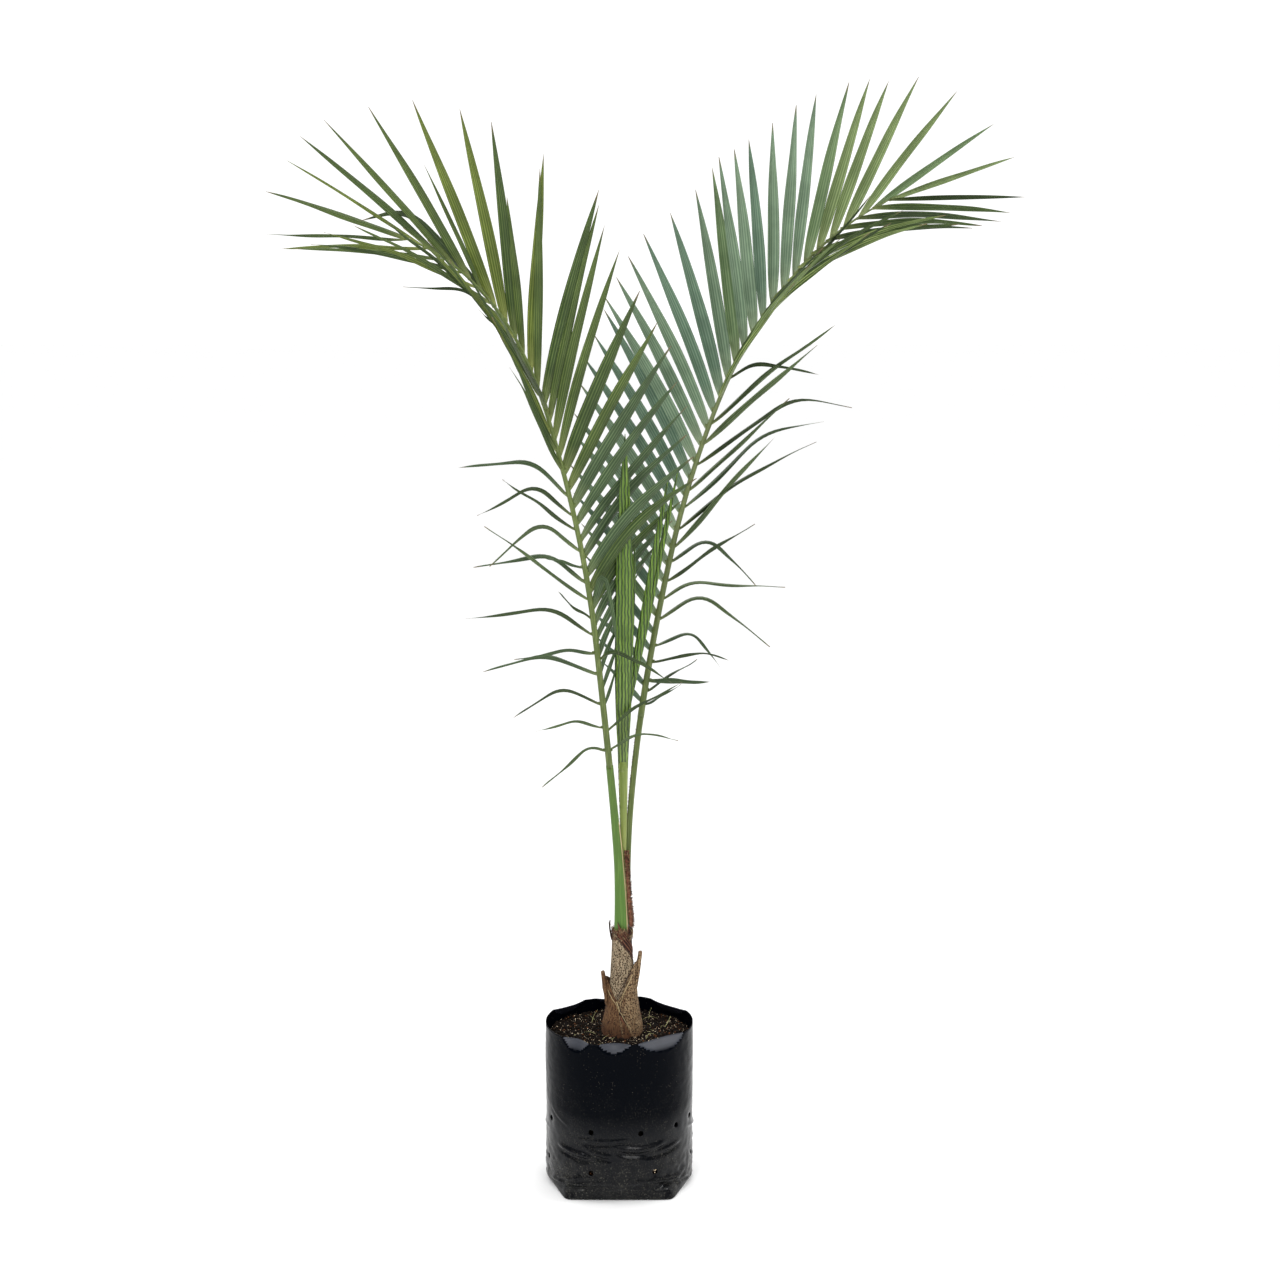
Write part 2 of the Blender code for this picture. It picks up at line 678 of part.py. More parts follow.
def make_spear(group):
    blades = []
    for k, (foot, tip, half_width, half_depth, widest) in enumerate(SPEAR_BLADES):
        path = straight_path(foot, tip, spear_size(half_width, half_depth, widest))
        limb = lofted(path, SPEAR_SIDES, SPEAR_SLICES)
        blades.append(add_object(f"spear_blade_{k}", limb, group, "spear"))
    blades[0].name = "spear_leaf"
    return join_all(blades[0], blades[1:])


def make_fibre(group):
    points = [Vector(point) for point in FIBRE_PATH]
    wide = Vector((FIBRE_HALF[0], 0.0, 0.0))
    deep = Vector((0.0, FIBRE_HALF[1], 0.0))

    def path(share):
        scaled = share * (len(points) - 1)
        k = min(int(scaled), len(points) - 2)
        return points[k].lerp(points[k + 1], scaled - k), wide, deep
    return add_object("fibre_margin", lofted(path, FIBRE_SIDES, len(points) - 1), group, "fibre")


# Leaflets


def leaflet_rows(name):
    """Every leaflet of a frond: row, place, launch, roll, length, width, fold, droop, twist, spread."""
    draw = random.Random(FRONDS[name]["seed"])
    rows = []
    for row in ("inner", "outer"):
        count, first, stops = ROWS[name, row]
        for k in range(count):
            place = first + (1.0 - first) * k / (count - 1)
            _, launch, roll, length, width, droop, twist = between(stops, place)
            launch += draw.uniform(-LAUNCH_SPREAD, LAUNCH_SPREAD)
            roll += draw.uniform(-ROLL_SPREAD, ROLL_SPREAD)
            length *= draw.uniform(1.0 - LENGTH_SPREAD, 1.0 + LENGTH_SPREAD)
            rows.append((row, place, launch, roll, length, width, MIDDLE, droop, twist, DROOP_SPREAD))
    for single in SINGLES[name]:
        droop = single[7]
        rows.append(single + (CREASE_SPREAD if droop > CREASED_FROM else FOLD_SPREAD,))
    return rows


def blade_width(share):
    """Outline of a leaflet: narrow at the root, widest near a third, drawn out to a point."""
    swell = (share + BLADE_ROOT) ** BLADE_SWELL * (1.0 - share) ** BLADE_TAPER
    return BLADE_SCALE * swell + TIP_SHARE


def leaflet_path(name, leaf, thicken=0.0):
    row, place, launch, roll, length, width, fold, droop, twist, spread = leaf
    along, inward, face = rib_frame(name, place)
    roll, launch, twist = math.radians(roll), math.radians(launch), math.radians(twist)
    if row == "inner":
        out = inward * math.cos(roll) - face * math.sin(roll)
    else:
        out = face * math.sin(roll) - inward * math.cos(roll)
    start = (along * math.cos(launch) + out * math.sin(launch)).normalized()
    flat = along.cross(out).normalized()
    level = Vector((start.x, start.y, 0.0)).normalized()
    lift = math.asin(max(-1.0, min(1.0, start.z)))
    slices = FOLDED_SLICES if abs(droop) > FOLDED_FROM else LEAF_SLICES
    fine = slices * STEPS_PER_SLICE
    stations = [(rib_at(name, place), start)]
    for k in range(fine):
        turned = smooth_step(((k + 0.5) / fine - fold + spread) / (2.0 * spread))
        angle = lift - math.radians(droop) * turned
        heading = level * math.cos(angle) + Vector((0.0, 0.0, math.sin(angle)))
        stations.append((stations[-1][0] + heading * length / fine, heading))
    thick = max(length * THICKNESS_SHARE, LEAST_THICKNESS)

    def path(share):
        centre, heading = stations[round(share * fine)]
        across = flat.cross(heading).normalized()
        through = heading.cross(across)
        wide = across * math.cos(twist) + through * math.sin(twist)
        deep = heading.cross(wide)
        swell = blade_width(share)
        half_depth = thick / 2 * max(swell, LEAST_DEPTH_SHARE) + thicken
        return centre, wide * (width / 2 * swell + thicken), deep * half_depth
    return path, slices


def touches(bm, taken):
    tree = BVHTree.FromBMesh(bm)
    return any(tree.overlap(other) for other in taken)


def rib_stretch(name, part):
    """Start and end of one half of a rib, and its closed form."""
    split = FRONDS[name]["split"]
    gap = GAP / FRONDS[name]["length"]
    start, end = (STALK_TOP + gap, split) if part == "lower" else (split + gap, 1.0)
    return start, end, lofted(rib_path(name, start, end, rib_size), RIB_SIDES, RIB_SLICES)


def make_frond(name, part, group, taken):
    """Half of a feather leaf: a stretch of rib with its leaflets. A leaflet that would
    touch a solid outside its own half turns out of its row, or else is left out."""
    other = rib_stretch(name, "upper" if part == "lower" else "lower")[2]
    barred = taken + [BVHTree.FromBMesh(other)]
    other.free()
    start, end, rib = rib_stretch(name, part)
    own = [BVHTree.FromBMesh(rib)]
    frond = add_object(f"frond_{name}_{part}", rib, group, name)
    blades = []
    skipped = 0
    for k, leaf in enumerate(leaflet_rows(name)):
        if not start < leaf[1] <= end:
            continue
        for turn in SIDESTEPS:
            tried = leaf[:3] + (leaf[3] + turn,) + leaf[4:]
            path, count = leaflet_path(name, tried, GAP)
            wide = lofted(path, LEAF_SIDES, count)
            blocked = touches(wide, barred)
            wide.free()
            if not blocked:
                break
        if blocked:
            skipped += 1
            continue
        path, count = leaflet_path(name, tried)
        bm = lofted(path, LEAF_SIDES, count)
        own.append(BVHTree.FromBMesh(bm))
        blades.append(add_object(f"leaflet_{k}", bm, group, name))
    join_all(frond, blades, "MANIFOLD")
    taken += own
    print(frond.name, "leaflets", len(blades), "left out", skipped, "triangles", triangles(frond))
    return frond


def triangles(item):
    return sum(len(face.vertices) - 2 for face in item.data.polygons)


def tree_of(item):
    bpy.context.view_layer.update()
    seen = item.evaluated_get(bpy.context.evaluated_depsgraph_get())
    bm = bmesh.new()
    bm.from_mesh(seen.to_mesh())
    bm.transform(item.matrix_world)
    tree = BVHTree.FromBMesh(bm)
    bm.free()
    return tree


def main():
    clear_scene()
    group = new_collection("potted_majesty_palm_seedling")
    cutters = new_collection("cutters")
    make_bag(group, cutters)
    make_soil(group)
    limbs = [make_stem(group)]
    limbs += [make_leaf_base(side, group) for side in ("left", "right")]
    limbs += [make_stalk(name, group) for name in FRONDS]
    limbs += [make_centre_stalk(group), make_spear(group), make_fibre(group)]
    taken = [tree_of(limb) for limb in limbs]
    for name in FRONDS:
        for part in ("lower", "upper"):
            make_frond(name, part, group, taken)


main()
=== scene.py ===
# %% [markdown]
# # A young feather palm in its nursery bag
# The palm's solids are already made to size. This script dresses them: each piece
# below takes the place of one or more solids and keeps to the same measurements.
# Everything is in metres, with +Z up and the bag standing on the floor at the origin.

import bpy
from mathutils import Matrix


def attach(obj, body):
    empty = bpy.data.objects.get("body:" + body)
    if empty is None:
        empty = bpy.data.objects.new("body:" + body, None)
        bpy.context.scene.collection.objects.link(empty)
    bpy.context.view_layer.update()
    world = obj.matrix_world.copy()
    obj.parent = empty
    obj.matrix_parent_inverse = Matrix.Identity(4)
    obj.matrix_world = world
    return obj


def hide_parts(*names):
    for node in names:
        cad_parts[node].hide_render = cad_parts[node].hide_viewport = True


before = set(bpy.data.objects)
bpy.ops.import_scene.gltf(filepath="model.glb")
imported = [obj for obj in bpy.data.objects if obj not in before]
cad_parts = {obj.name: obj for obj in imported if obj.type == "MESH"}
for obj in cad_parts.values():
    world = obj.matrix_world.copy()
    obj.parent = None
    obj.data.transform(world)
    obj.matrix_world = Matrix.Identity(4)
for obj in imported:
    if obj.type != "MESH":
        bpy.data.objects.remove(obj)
print("solids to dress:", ", ".join(sorted(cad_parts)))

# %% [markdown]
# ## Modules
# The modules that the shapes and finishes need are brought in, and the scene is brought
# up to date.

# %% Modules
import math
import random

import bmesh
import bpy
from mathutils import Euler, Vector, noise


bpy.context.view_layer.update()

# %% [markdown]
# ## Camera
# A long lens three metres away keeps the tall plant free of distortion. The camera
# stands at chest height and looks down by ten degrees, so the soil shows in the bag.

# %% Camera
lens = bpy.data.cameras.new("front_view")
lens.lens = 65.0
lens.sensor_width = 36.0
camera = bpy.data.objects.new("front_view", lens)
camera.location = (0.028, -3.0, 1.274)
camera.rotation_euler = (math.radians(80.0), 0.0, 0.0)
bpy.context.scene.collection.objects.link(camera)
bpy.context.scene.camera = camera
bpy.context.scene.view_settings.view_transform = "Standard"
print("camera at", tuple(camera.location))

# %% [markdown]
# ## Colours and shader helpers
# Paint charts give colours from 0 to 255 as the eye sees them, and a shader wants
# them as amounts of light. The small helpers below add one shader node each, so that
# a finish further on reads as a short recipe.

# %% Colours and the start of a finish
def tint(red, green, blue):
    def light(value):
        value /= 255.0
        return value / 12.92 if value <= 0.04045 else ((value + 0.055) / 1.055) ** 2.4
    return (light(red), light(green), light(blue), 1.0)


def start_finish(name, roughness, specular=0.5):
    made = bpy.data.materials.new(name)
    made.use_nodes = True
    shader = made.node_tree.nodes["Principled BSDF"]
    shader.inputs["Roughness"].default_value = roughness
    shader.inputs["Specular IOR Level"].default_value = specular
    return made, made.node_tree, shader


def coordinates(tree, kind, scale=(1.0, 1.0, 1.0)):
    source = tree.nodes.new("ShaderNodeTexCoord")
    mapping = tree.nodes.new("ShaderNodeMapping")
    mapping.inputs["Scale"].default_value = scale
    tree.links.new(source.outputs[kind], mapping.inputs["Vector"])
    return mapping.outputs["Vector"]


def height_of(tree):
    """How high each place stands above the floor, as a number."""
    split = tree.nodes.new("ShaderNodeSeparateXYZ")
    tree.links.new(coordinates(tree, "Object"), split.inputs["Vector"])
    return split.outputs["Z"]


print("mid grey as an amount of light:", round(tint(128, 128, 128)[0], 3))

# %% Patterns
def cloud(tree, vector, scale, detail=3.0):
    made = tree.nodes.new("ShaderNodeTexNoise")
    made.inputs["Scale"].default_value = scale
    made.inputs["Detail"].default_value = detail
    tree.links.new(vector, made.inputs["Vector"])
    return made.outputs["Fac"]


def cells(tree, vector, scale):
    made = tree.nodes.new("ShaderNodeTexVoronoi")
    made.inputs["Scale"].default_value = scale
    tree.links.new(vector, made.inputs["Vector"])
    return made.outputs["Distance"]


def lines(tree, vector, scale, distortion=0.6):
    made = tree.nodes.new("ShaderNodeTexWave")
    made.bands_direction = "X"
    made.inputs["Scale"].default_value = scale
    made.inputs["Distortion"].default_value = distortion
    made.inputs["Detail"].default_value = 2.0
    tree.links.new(vector, made.inputs["Vector"])
    return made.outputs["Fac"]


print("patterns: cloud, cells and lines")

# %% Mixing
def steps(tree, factor, *stops):
    """Turns a number into greys: each stop is a position and a brightness."""
    made = tree.nodes.new("ShaderNodeValToRGB")
    elements = made.color_ramp.elements
    while len(elements) < len(stops):
        elements.new(0.5)
    for element, (position, bright) in zip(elements, stops):
        element.position = position
        element.color = (bright, bright, bright, 1.0)
    tree.links.new(factor, made.inputs["Fac"])
    return made.outputs["Color"]


def mixed(tree, factor, first, second):
    """Mixes two colours by a factor. Either colour may be a fixed one or a socket."""
    made = tree.nodes.new("ShaderNodeMix")
    made.data_type = "RGBA"
    tree.links.new(factor, made.inputs[0])
    for socket, colour in ((made.inputs[6], first), (made.inputs[7], second)):
        if isinstance(colour, tuple):
            socket.default_value = colour
        else:
            tree.links.new(colour, socket)
    return made.outputs[2]


def product(tree, first, second):
    made = tree.nodes.new("ShaderNodeMath")
    made.operation = "MULTIPLY"
    tree.links.new(first, made.inputs[0])
    tree.links.new(second, made.inputs[1])
    return made.outputs["Value"]


def raise_by(tree, shader, height, distance, strength=0.6):
    made = tree.nodes.new("ShaderNodeBump")
    made.inputs["Strength"].default_value = strength
    made.inputs["Distance"].default_value = distance
    tree.links.new(height, made.inputs["Height"])
    tree.links.new(made.outputs["Normal"], shader.inputs["Normal"])


print("mixing helpers ready")

# %% [markdown]
# ## Studio floor and light
# The palm stands on a wide white floor under a white sky, both lit until they meet
# without a horizon. The room on the camera's side is dimmer, as it is in a studio,
# and that gives the leaflets their form. Four fairly small lamps, one high and two low
# in front and one on the right, make the highlights on the film, and a larger one
# overhead lights the leaves from above.

# %% Floor
FLOOR_HALF = 24.0

floor = bmesh.new()
bmesh.ops.create_grid(floor, x_segments=2, y_segments=2, size=FLOOR_HALF)
bmesh.ops.translate(floor, verts=floor.verts, vec=(0.0, 0.0, -0.0006))
floor_mesh = bpy.data.meshes.new("studio_floor")
floor.to_mesh(floor_mesh)
floor.free()
studio = bpy.data.objects.new("studio_floor", floor_mesh)
bpy.context.scene.collection.objects.link(studio)
paper, paper_tree, paper_shader = start_finish("studio_paper", 0.9, 0.1)
paper_grain = cloud(paper_tree, coordinates(paper_tree, "Object"), 3.0)
paper_tone = mixed(paper_tree, paper_grain, tint(252, 252, 252), tint(249, 249, 249))
paper_tree.links.new(paper_tone, paper_shader.inputs["Base Color"])
floor_mesh.materials.append(paper)
print("floor is", 2.0 * FLOOR_HALF, "m wide")

# %% Sky
sky = bpy.data.worlds.new("studio_air")
sky.use_nodes = True
sky_tree = sky.node_tree
sky_way = sky_tree.nodes.new("ShaderNodeSeparateXYZ")
sky_tree.links.new(coordinates(sky_tree, "Generated"), sky_way.inputs["Vector"])
overhead = steps(sky_tree, sky_way.outputs["Z"], (0.30, 0.16), (0.62, 1.0))
behind = steps(sky_tree, sky_way.outputs["Y"], (0.0, 0.16), (0.22, 1.0))
brighter = sky_tree.nodes.new("ShaderNodeMath")
brighter.operation = "MAXIMUM"
sky_tree.links.new(overhead, brighter.inputs[0])
sky_tree.links.new(behind, brighter.inputs[1])
sky_tree.links.new(brighter.outputs["Value"], sky_tree.nodes["Background"].inputs["Color"])
sky_tree.nodes["Background"].inputs["Strength"].default_value = 1.16
bpy.context.scene.world = sky
print("sky:", len(sky_tree.nodes), "shader nodes")

# %% Lamps
def lamp(name, place, aim, size, power):
    light = bpy.data.lights.new(name, "AREA")
    light.shape = "DISK"
    light.size = size
    light.energy = power
    made = bpy.data.objects.new(name, light)
    made.location = place
    made.rotation_euler = (Vector(aim) - Vector(place)).to_track_quat("-Z", "Y").to_euler()
    bpy.context.scene.collection.objects.link(made)


lamp("key_light", (-0.7, -2.1, 2.6), (0.0, 0.0, 0.7), 0.5, 20.0)
lamp("low_light_left", (-1.9, -1.9, 1.4), (0.0, 0.0, 0.2), 0.5, 10.0)
lamp("low_light_right", (1.0, -2.3, 1.4), (0.0, 0.0, 0.2), 0.5, 9.0)
lamp("side_light", (2.4, -0.4, 2.1), (0.0, 0.0, 0.6), 0.5, 17.0)
lamp("top_light", (0.2, 0.4, 3.6), (0.0, 0.0, 0.4), 1.2, 26.0)
print(len(bpy.data.lights), "lamps set")

# %% [markdown]
# ## How the shapes start
# Most of this plant is a tube or a blade. A tube starts as a cylinder one unit long
# that is sliced into rings; a blade starts as a flat grid. Each corner is then moved
# to where the real surface is, which keeps the faces even. What repeats, such as a
# leaflet or a hair, is kept as a small pattern and copied, each copy with a form of
# its own. A form is a function that takes a corner of the pattern to its real place.

# %% Starting shapes
def tube(sides, slices):
    """A closed cylinder from 0 to 1 in height, with slices even rings of faces."""
    bm = bmesh.new()
    bmesh.ops.create_cone(bm, cap_ends=True, segments=sides, radius1=1.0, radius2=1.0, depth=1.0)
    bmesh.ops.translate(bm, verts=bm.verts, vec=(0.0, 0.0, 0.5))
    uprights = [edge for edge in bm.edges if abs(edge.verts[0].co.z - edge.verts[1].co.z) > 0.5]
    bmesh.ops.subdivide_edges(bm, edges=uprights, cuts=slices - 1, use_grid_fill=True)
    return bm


def blade(across, along):
    """A flat grid from -0.5 to 0.5 both ways, with its own map."""
    bm = bmesh.new()
    bm.loops.layers.uv.new("leaf_map")
    bmesh.ops.create_grid(bm, x_segments=across, y_segments=along, size=0.5, calc_uvs=True)
    return bm


print("starting shapes: tube and blade")

# %% Copies and finished pieces
def pattern(bm):
    """Keeps a small shape as a mesh, to be copied many times."""
    mesh = bpy.data.meshes.new("pattern")
    bm.to_mesh(mesh)
    bm.free()
    return mesh


def add_copy(bm, mesh, form, finish=0):
    """Adds one copy of a pattern, with every corner placed by form."""
    first_vert, first_face = len(bm.verts), len(bm.faces)
    bm.from_mesh(mesh)
    bm.verts.ensure_lookup_table()
    bm.faces.ensure_lookup_table()
    for vert in bm.verts[first_vert:]:
        vert.co = form(vert.co.copy())
    for face in bm.faces[first_face:]:
        face.material_index = finish


def piece(name, bm, finishes, nodes, outward=True):
    """Makes the finished piece, which stands for the named solids."""
    if outward:
        bmesh.ops.recalc_face_normals(bm, faces=bm.faces)
    mesh = bpy.data.meshes.new(name)
    bm.to_mesh(mesh)
    bm.free()
    mesh.shade_smooth()
    for finish in finishes:
        mesh.materials.append(finish)
    made = bpy.data.objects.new(name, mesh)
    bpy.context.scene.collection.objects.link(made)
    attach(made, "root")
    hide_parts(*nodes)
    print(name, len(mesh.polygons), "faces")
    return made


print("every piece rides on the body called root")

# %% Small measures
def away(angle):
    """The level direction at an angle round the middle."""
    return Vector((math.cos(angle), math.sin(angle), 0.0))


def smooth_step(x):
    """Goes softly from 0 to 1."""
    x = min(max(x, 0.0), 1.0)
    return x * x * (3.0 - 2.0 * x)


def between(stops, place):
    """Values at a place, read in straight lines between the stops."""
    for low, high in zip(stops, stops[1:]):
        if place <= high[0]:
            share = max((place - low[0]) / (high[0] - low[0]), 0.0)
            return [a + (b - a) * share for a, b in zip(low, high)]
    return list(stops[-1])


print("a quarter of the way along a soft step:", smooth_step(0.25))

# %% [markdown]
# ## The bag's film
# The bag is thin black film: glossy, but dulled towards its foot by dust and grains of
# dried soil. Its gloss is kept low face on and rises at the edges, as it does on real
# film. Fine creases are a bump; the large ones are modelled. Where the rim leans in it
# catches the lamps; those patches have a softer, glossier finish of their own, and
# their paler blue-grey colour is a painted highlight.

# %% Film colour, with dust, grit and flecks of soil
FILM_BLACK = tint(2, 4, 9)

film, film_tree, film_shader = start_finish("black_film", 0.3, 0.06)
film_place = coordinates(film_tree, "Object")
film_height = height_of(film_tree)
low_down = steps(film_tree, film_height, (0.0, 1.0), (0.035, 0.75), (0.09, 0.25), (0.17, 0.0))
patches = steps(film_tree, cloud(film_tree, film_place, 48.0, 8.0), (0.36, 0.2), (0.64, 1.0))
dusty = product(film_tree, low_down, patches)
film_tone = mixed(film_tree, dusty, FILM_BLACK, tint(22, 22, 22))
grit = steps(film_tree, cloud(film_tree, film_place, 520.0, 2.0), (0.57, 0.0), (0.70, 1.0))
film_tone = mixed(film_tree, product(film_tree, dusty, grit), film_tone, tint(92, 90, 82))
flecks = steps(film_tree, cells(film_tree, film_place, 300.0), (0.07, 1.0), (0.14, 0.0))
sparse = steps(film_tree, cloud(film_tree, film_place, 60.0), (0.48, 0.0), (0.62, 1.0))
film_tone = mixed(film_tree, product(film_tree, flecks, sparse), film_tone, tint(88, 84, 74))
film_tree.links.new(film_tone, film_shader.inputs["Base Color"])
print("film colour:", len(film_tree.nodes), "shader nodes")

# %% Film gloss and fine creases
film_gloss = steps(film_tree, film_height, (0.0, 0.14), (0.09, 0.14), (0.12, 0.03))
film_tree.links.new(film_gloss, film_shader.inputs["Specular IOR Level"])
film_rough = steps(film_tree, dusty, (0.0, 0.20), (1.0, 0.34))
film_tree.links.new(film_rough, film_shader.inputs["Roughness"])
film_creases = cloud(film_tree, coordinates(film_tree, "Object", (1.0, 1.0, 2.6)), 34.0, 5.0)
raise_by(film_tree, film_shader, film_creases, 0.0010, 0.4)
print("with gloss and creases:", len(film_tree.nodes), "shader nodes")

# %% Finish of the leaning rim
# Heights between which the rim's painted highlight and its gloss fade in.
LIT_FROM, LIT_FULL = 0.2070, 0.2125  # heights between which the paler patches fade in

rim_painted_highlight, rim_tree, rim_shader = start_finish("leaning_rim_painted_highlight", 0.42, 0.6)
rim_height = height_of(rim_tree)
rim_cloud = cloud(rim_tree, coordinates(rim_tree, "Object"), 60.0)
# This blue-grey is a painted highlight where the leaning rim catches the lamps; the rim's gloss and roughness
# are real.
rim_highlight_tone = mixed(rim_tree, rim_cloud, tint(22, 26, 36), tint(38, 42, 54))
rim_fade = steps(rim_tree, rim_height, (LIT_FROM, 0.0), (LIT_FULL, 1.0))
rim_tree.links.new(mixed(rim_tree, rim_fade, FILM_BLACK, rim_highlight_tone), rim_shader.inputs["Base Color"])
rim_gloss = steps(rim_tree, rim_height, (LIT_FROM, 0.03), (LIT_FULL, 0.5))
rim_tree.links.new(rim_gloss, rim_shader.inputs["Specular IOR Level"])
print("leaning rim:", len(rim_tree.nodes), "shader nodes")

# %% [markdown]
# ## The bag's form
# The real bag is a welded tube of film whose foot is folded flat, so it is round
# above and stands on six straight edges. The filling presses creases into it that sag
# like smiles, and the free rim leans in where nothing holds it. Each crease is a line
# on the surface, given as angle and height, that pushes the film out above itself and
# in below.

# %% Bag outline
BAG_RADIUS = 0.100
BAG_HEIGHT = 0.221
FOOT_FRONT = 0.0870
FOOT_SLANT = 0.0953
FOOT_SLANT_TURN = 17.4
FOOT_POINT = 0.0978
FOOT_CORNERS = 24.0
FOLD_LOW = 0.0060
FOLD_RISE = 0.0205
FOOT_ROUNDING = 0.0015
RING_CROWDING = 1.25  # rings of faces lie closer together towards the foot


def foot_radius(angle):
    """Radius of the flat foot: six straight edges with slightly rounded corners."""
    sideways, forward = abs(math.cos(angle)), abs(math.sin(angle))
    turn = math.radians(FOOT_SLANT_TURN)
    edges = (
        forward / FOOT_FRONT,
        (sideways * math.cos(turn) + forward * math.sin(turn)) / FOOT_SLANT,
        sideways / FOOT_POINT,
    )
    return sum(edge ** FOOT_CORNERS for edge in edges) ** (-1.0 / FOOT_CORNERS)


def bag_radius(angle, height):
    """Radius of the film: round above, drawn to the folded foot below."""
    fold = FOLD_LOW + FOLD_RISE * math.sin(angle) ** 2
    share = max(0.0, 1.0 - height / fold)
    tuck = FOOT_ROUNDING * max(0.0, 1.0 - height / FOOT_ROUNDING) ** 2
    return BAG_RADIUS + (foot_radius(angle) - BAG_RADIUS) * share - tuck


print("bag outline at mid height", round(bag_radius(0.0, 0.11), 4))

# %% Creases and leaning rim
# Creases: angle and height at both ends, sag in the middle, half width, depth
CREASES = (
    (-143, 0.0650, -109, 0.0605, -0.0020, 0.0046, 0.0032),
    (-116, 0.0698, -95, 0.0626, -0.0010, 0.0040, 0.0030),
    (-92, 0.0755, -53, 0.0762, -0.0050, 0.0052, 0.0042),
    (-68, 0.0648, -37, 0.0706, -0.0012, 0.0040, 0.0030),
    (-127, 0.0906, -86, 0.0945, -0.0010, 0.0022, 0.0009),
    (-121, 0.0825, -81, 0.0869, -0.0006, 0.0034, 0.0022),
    (-156, 0.0120, -100, 0.0265, -0.0020, 0.0044, 0.0036),
    (-148, 0.0200, -112, 0.0310, -0.0015, 0.0034, 0.0025),
    (-79, 0.0262, -19, 0.0120, 0.0030, 0.0044, 0.0036),
    (-66, 0.0180, -28, 0.0250, -0.0010, 0.0034, 0.0025),
    (-155, 0.1130, -134, 0.0975, -0.0010, 0.0026, 0.0011),
    (-20, 0.0840, 22, 0.0760, -0.0040, 0.0032, 0.0020),
    (0, 0.0560, 40, 0.0620, -0.0030, 0.0030, 0.0018),
    (38, 0.0740, 84, 0.0700, -0.0050, 0.0034, 0.0023),
    (70, 0.0880, 118, 0.0860, -0.0030, 0.0028, 0.0015),
    (100, 0.0640, 152, 0.0700, -0.0040, 0.0032, 0.0021),
    (150, 0.0860, 196, 0.0800, -0.0030, 0.0028, 0.0015),
    (24, 0.0120, 80, 0.0262, -0.0020, 0.0036, 0.0021),
    (101, 0.0262, 156, 0.0130, 0.0030, 0.0036, 0.0021),
)
# Places where the rim leans in: angle, half width in degrees, depth down the wall
RIM_SCALLOPS = (
    (-126, 13, 0.015), (-94, 13, 0.012), (-52, 24, 0.016),
    (44, 20, 0.014), (92, 18, 0.013), (138, 18, 0.014),
)
RIM_LEAN = 0.0105
RIM_WAVE = 0.0022  # how far the cut rim rises and dips
FILM_SLACK = 0.0012  # slow waves in the film
FILM_CRUMPLE = 0.0003  # small dents, four times as deep near the foot
FIRM_FOOT = 0.012  # below this height the folds hold the film still


def crease_push(degrees, height):
    """How far the creases push the film out at a place."""
    push = 0.0
    for start, low, end, high, sag, wide, deep in CREASES:
        share = ((degrees - start + 180.0) % 360.0 - 180.0) / (end - start)
        if not -0.15 < share < 1.15:
            continue
        middle = low + (high - low) * share + 4.0 * sag * share * (1.0 - share)
        off = (height - middle) / wide
        fade = smooth_step((share + 0.15) / 0.35) * smooth_step((1.15 - share) / 0.35)
        push += deep * fade * off * math.exp(0.5 - off * off)
    return push


def rim_push(degrees, height):
    """How far the rim leans in at a place, as a negative push."""
    push = 0.0
    for angle, half, deep in RIM_SCALLOPS:
        off = ((degrees - angle + 180.0) % 360.0 - 180.0) / half
        down = (BAG_HEIGHT - height) / deep
        push -= RIM_LEAN * max(0.0, 1.0 - off * off - down)
    return push


def film_place_at(angle, height):
    """Where the outside of the film is, with its waves, dents, creases and rim."""
    degrees = math.degrees(angle)
    spot = away(angle)
    slack = noise.noise(spot * 1.6 + Vector((0.0, 0.0, height * 14.0))) * FILM_SLACK
    crumple = noise.fractal(spot * 9.0 + Vector((0.0, 0.0, height * 110.0)), 1.0, 2.0, 4) * FILM_CRUMPLE
    crumple *= 1.0 + 3.0 * smooth_step((0.075 - height) / 0.05)
    firm = smooth_step(height / FIRM_FOOT)
    radius = bag_radius(angle, height) + (slack + crumple + crease_push(degrees, height)) * firm
    radius += rim_push(degrees, height)
    near_rim = smooth_step(height / BAG_HEIGHT * 4.0 - 3.0)
    rise = noise.noise(spot * 1.9 + Vector((5.0, 2.0, 0.0))) * RIM_WAVE * near_rim
    return Vector((radius * spot.x, radius * spot.y, height + rise))


print(len(CREASES), "creases, and", len(RIM_SCALLOPS), "places where the rim leans in")

# %% [markdown]
# ## Making the bag
# The film starts as a tube with its lid taken off and is given its thickness by a
# Solidify modifier. The faces where the rim leans in get the rim's own finish. The
# drain holes are cut by one Boolean, which is quick because both shapes are closed.
# A punched hole dishes the film around it a little.

# %% Drain holes
HOLE_RADIUS = 0.0036
HOLE_DISH = 0.0013
HOLE_DISH_REACH = 0.0052
UPPER_HOLES = (0.097, (-157, -112, -73, -40, -17, 22, 63, 104, 150))
LOWER_HOLES = (0.040, (-163, -112, -61, -10, 42, 95, 146))
holes = [(math.radians(degrees), height) for height, row in (UPPER_HOLES, LOWER_HOLES) for degrees in row]


def hole_dish(angle, height):
    """How far the film is dished round the holes, as a negative push."""
    dish = 0.0
    for hole_angle, hole_height in holes:
        turn = (angle - hole_angle + math.pi) % (2.0 * math.pi) - math.pi
        apart = math.hypot(turn * BAG_RADIUS, height - hole_height)
        dish -= HOLE_DISH * math.exp(-((apart / HOLE_DISH_REACH) ** 2))
    return dish


print(len(holes), "drain holes")

# %% Bag
BAG_SIDES = 240
BAG_RINGS = 116
FILM_SHOWN = 0.0005
RIM_ZONE = 0.19  # the rim's own finish is kept above this height
RIM_LEANS = 0.0008  # and where the rim leans in by more than this

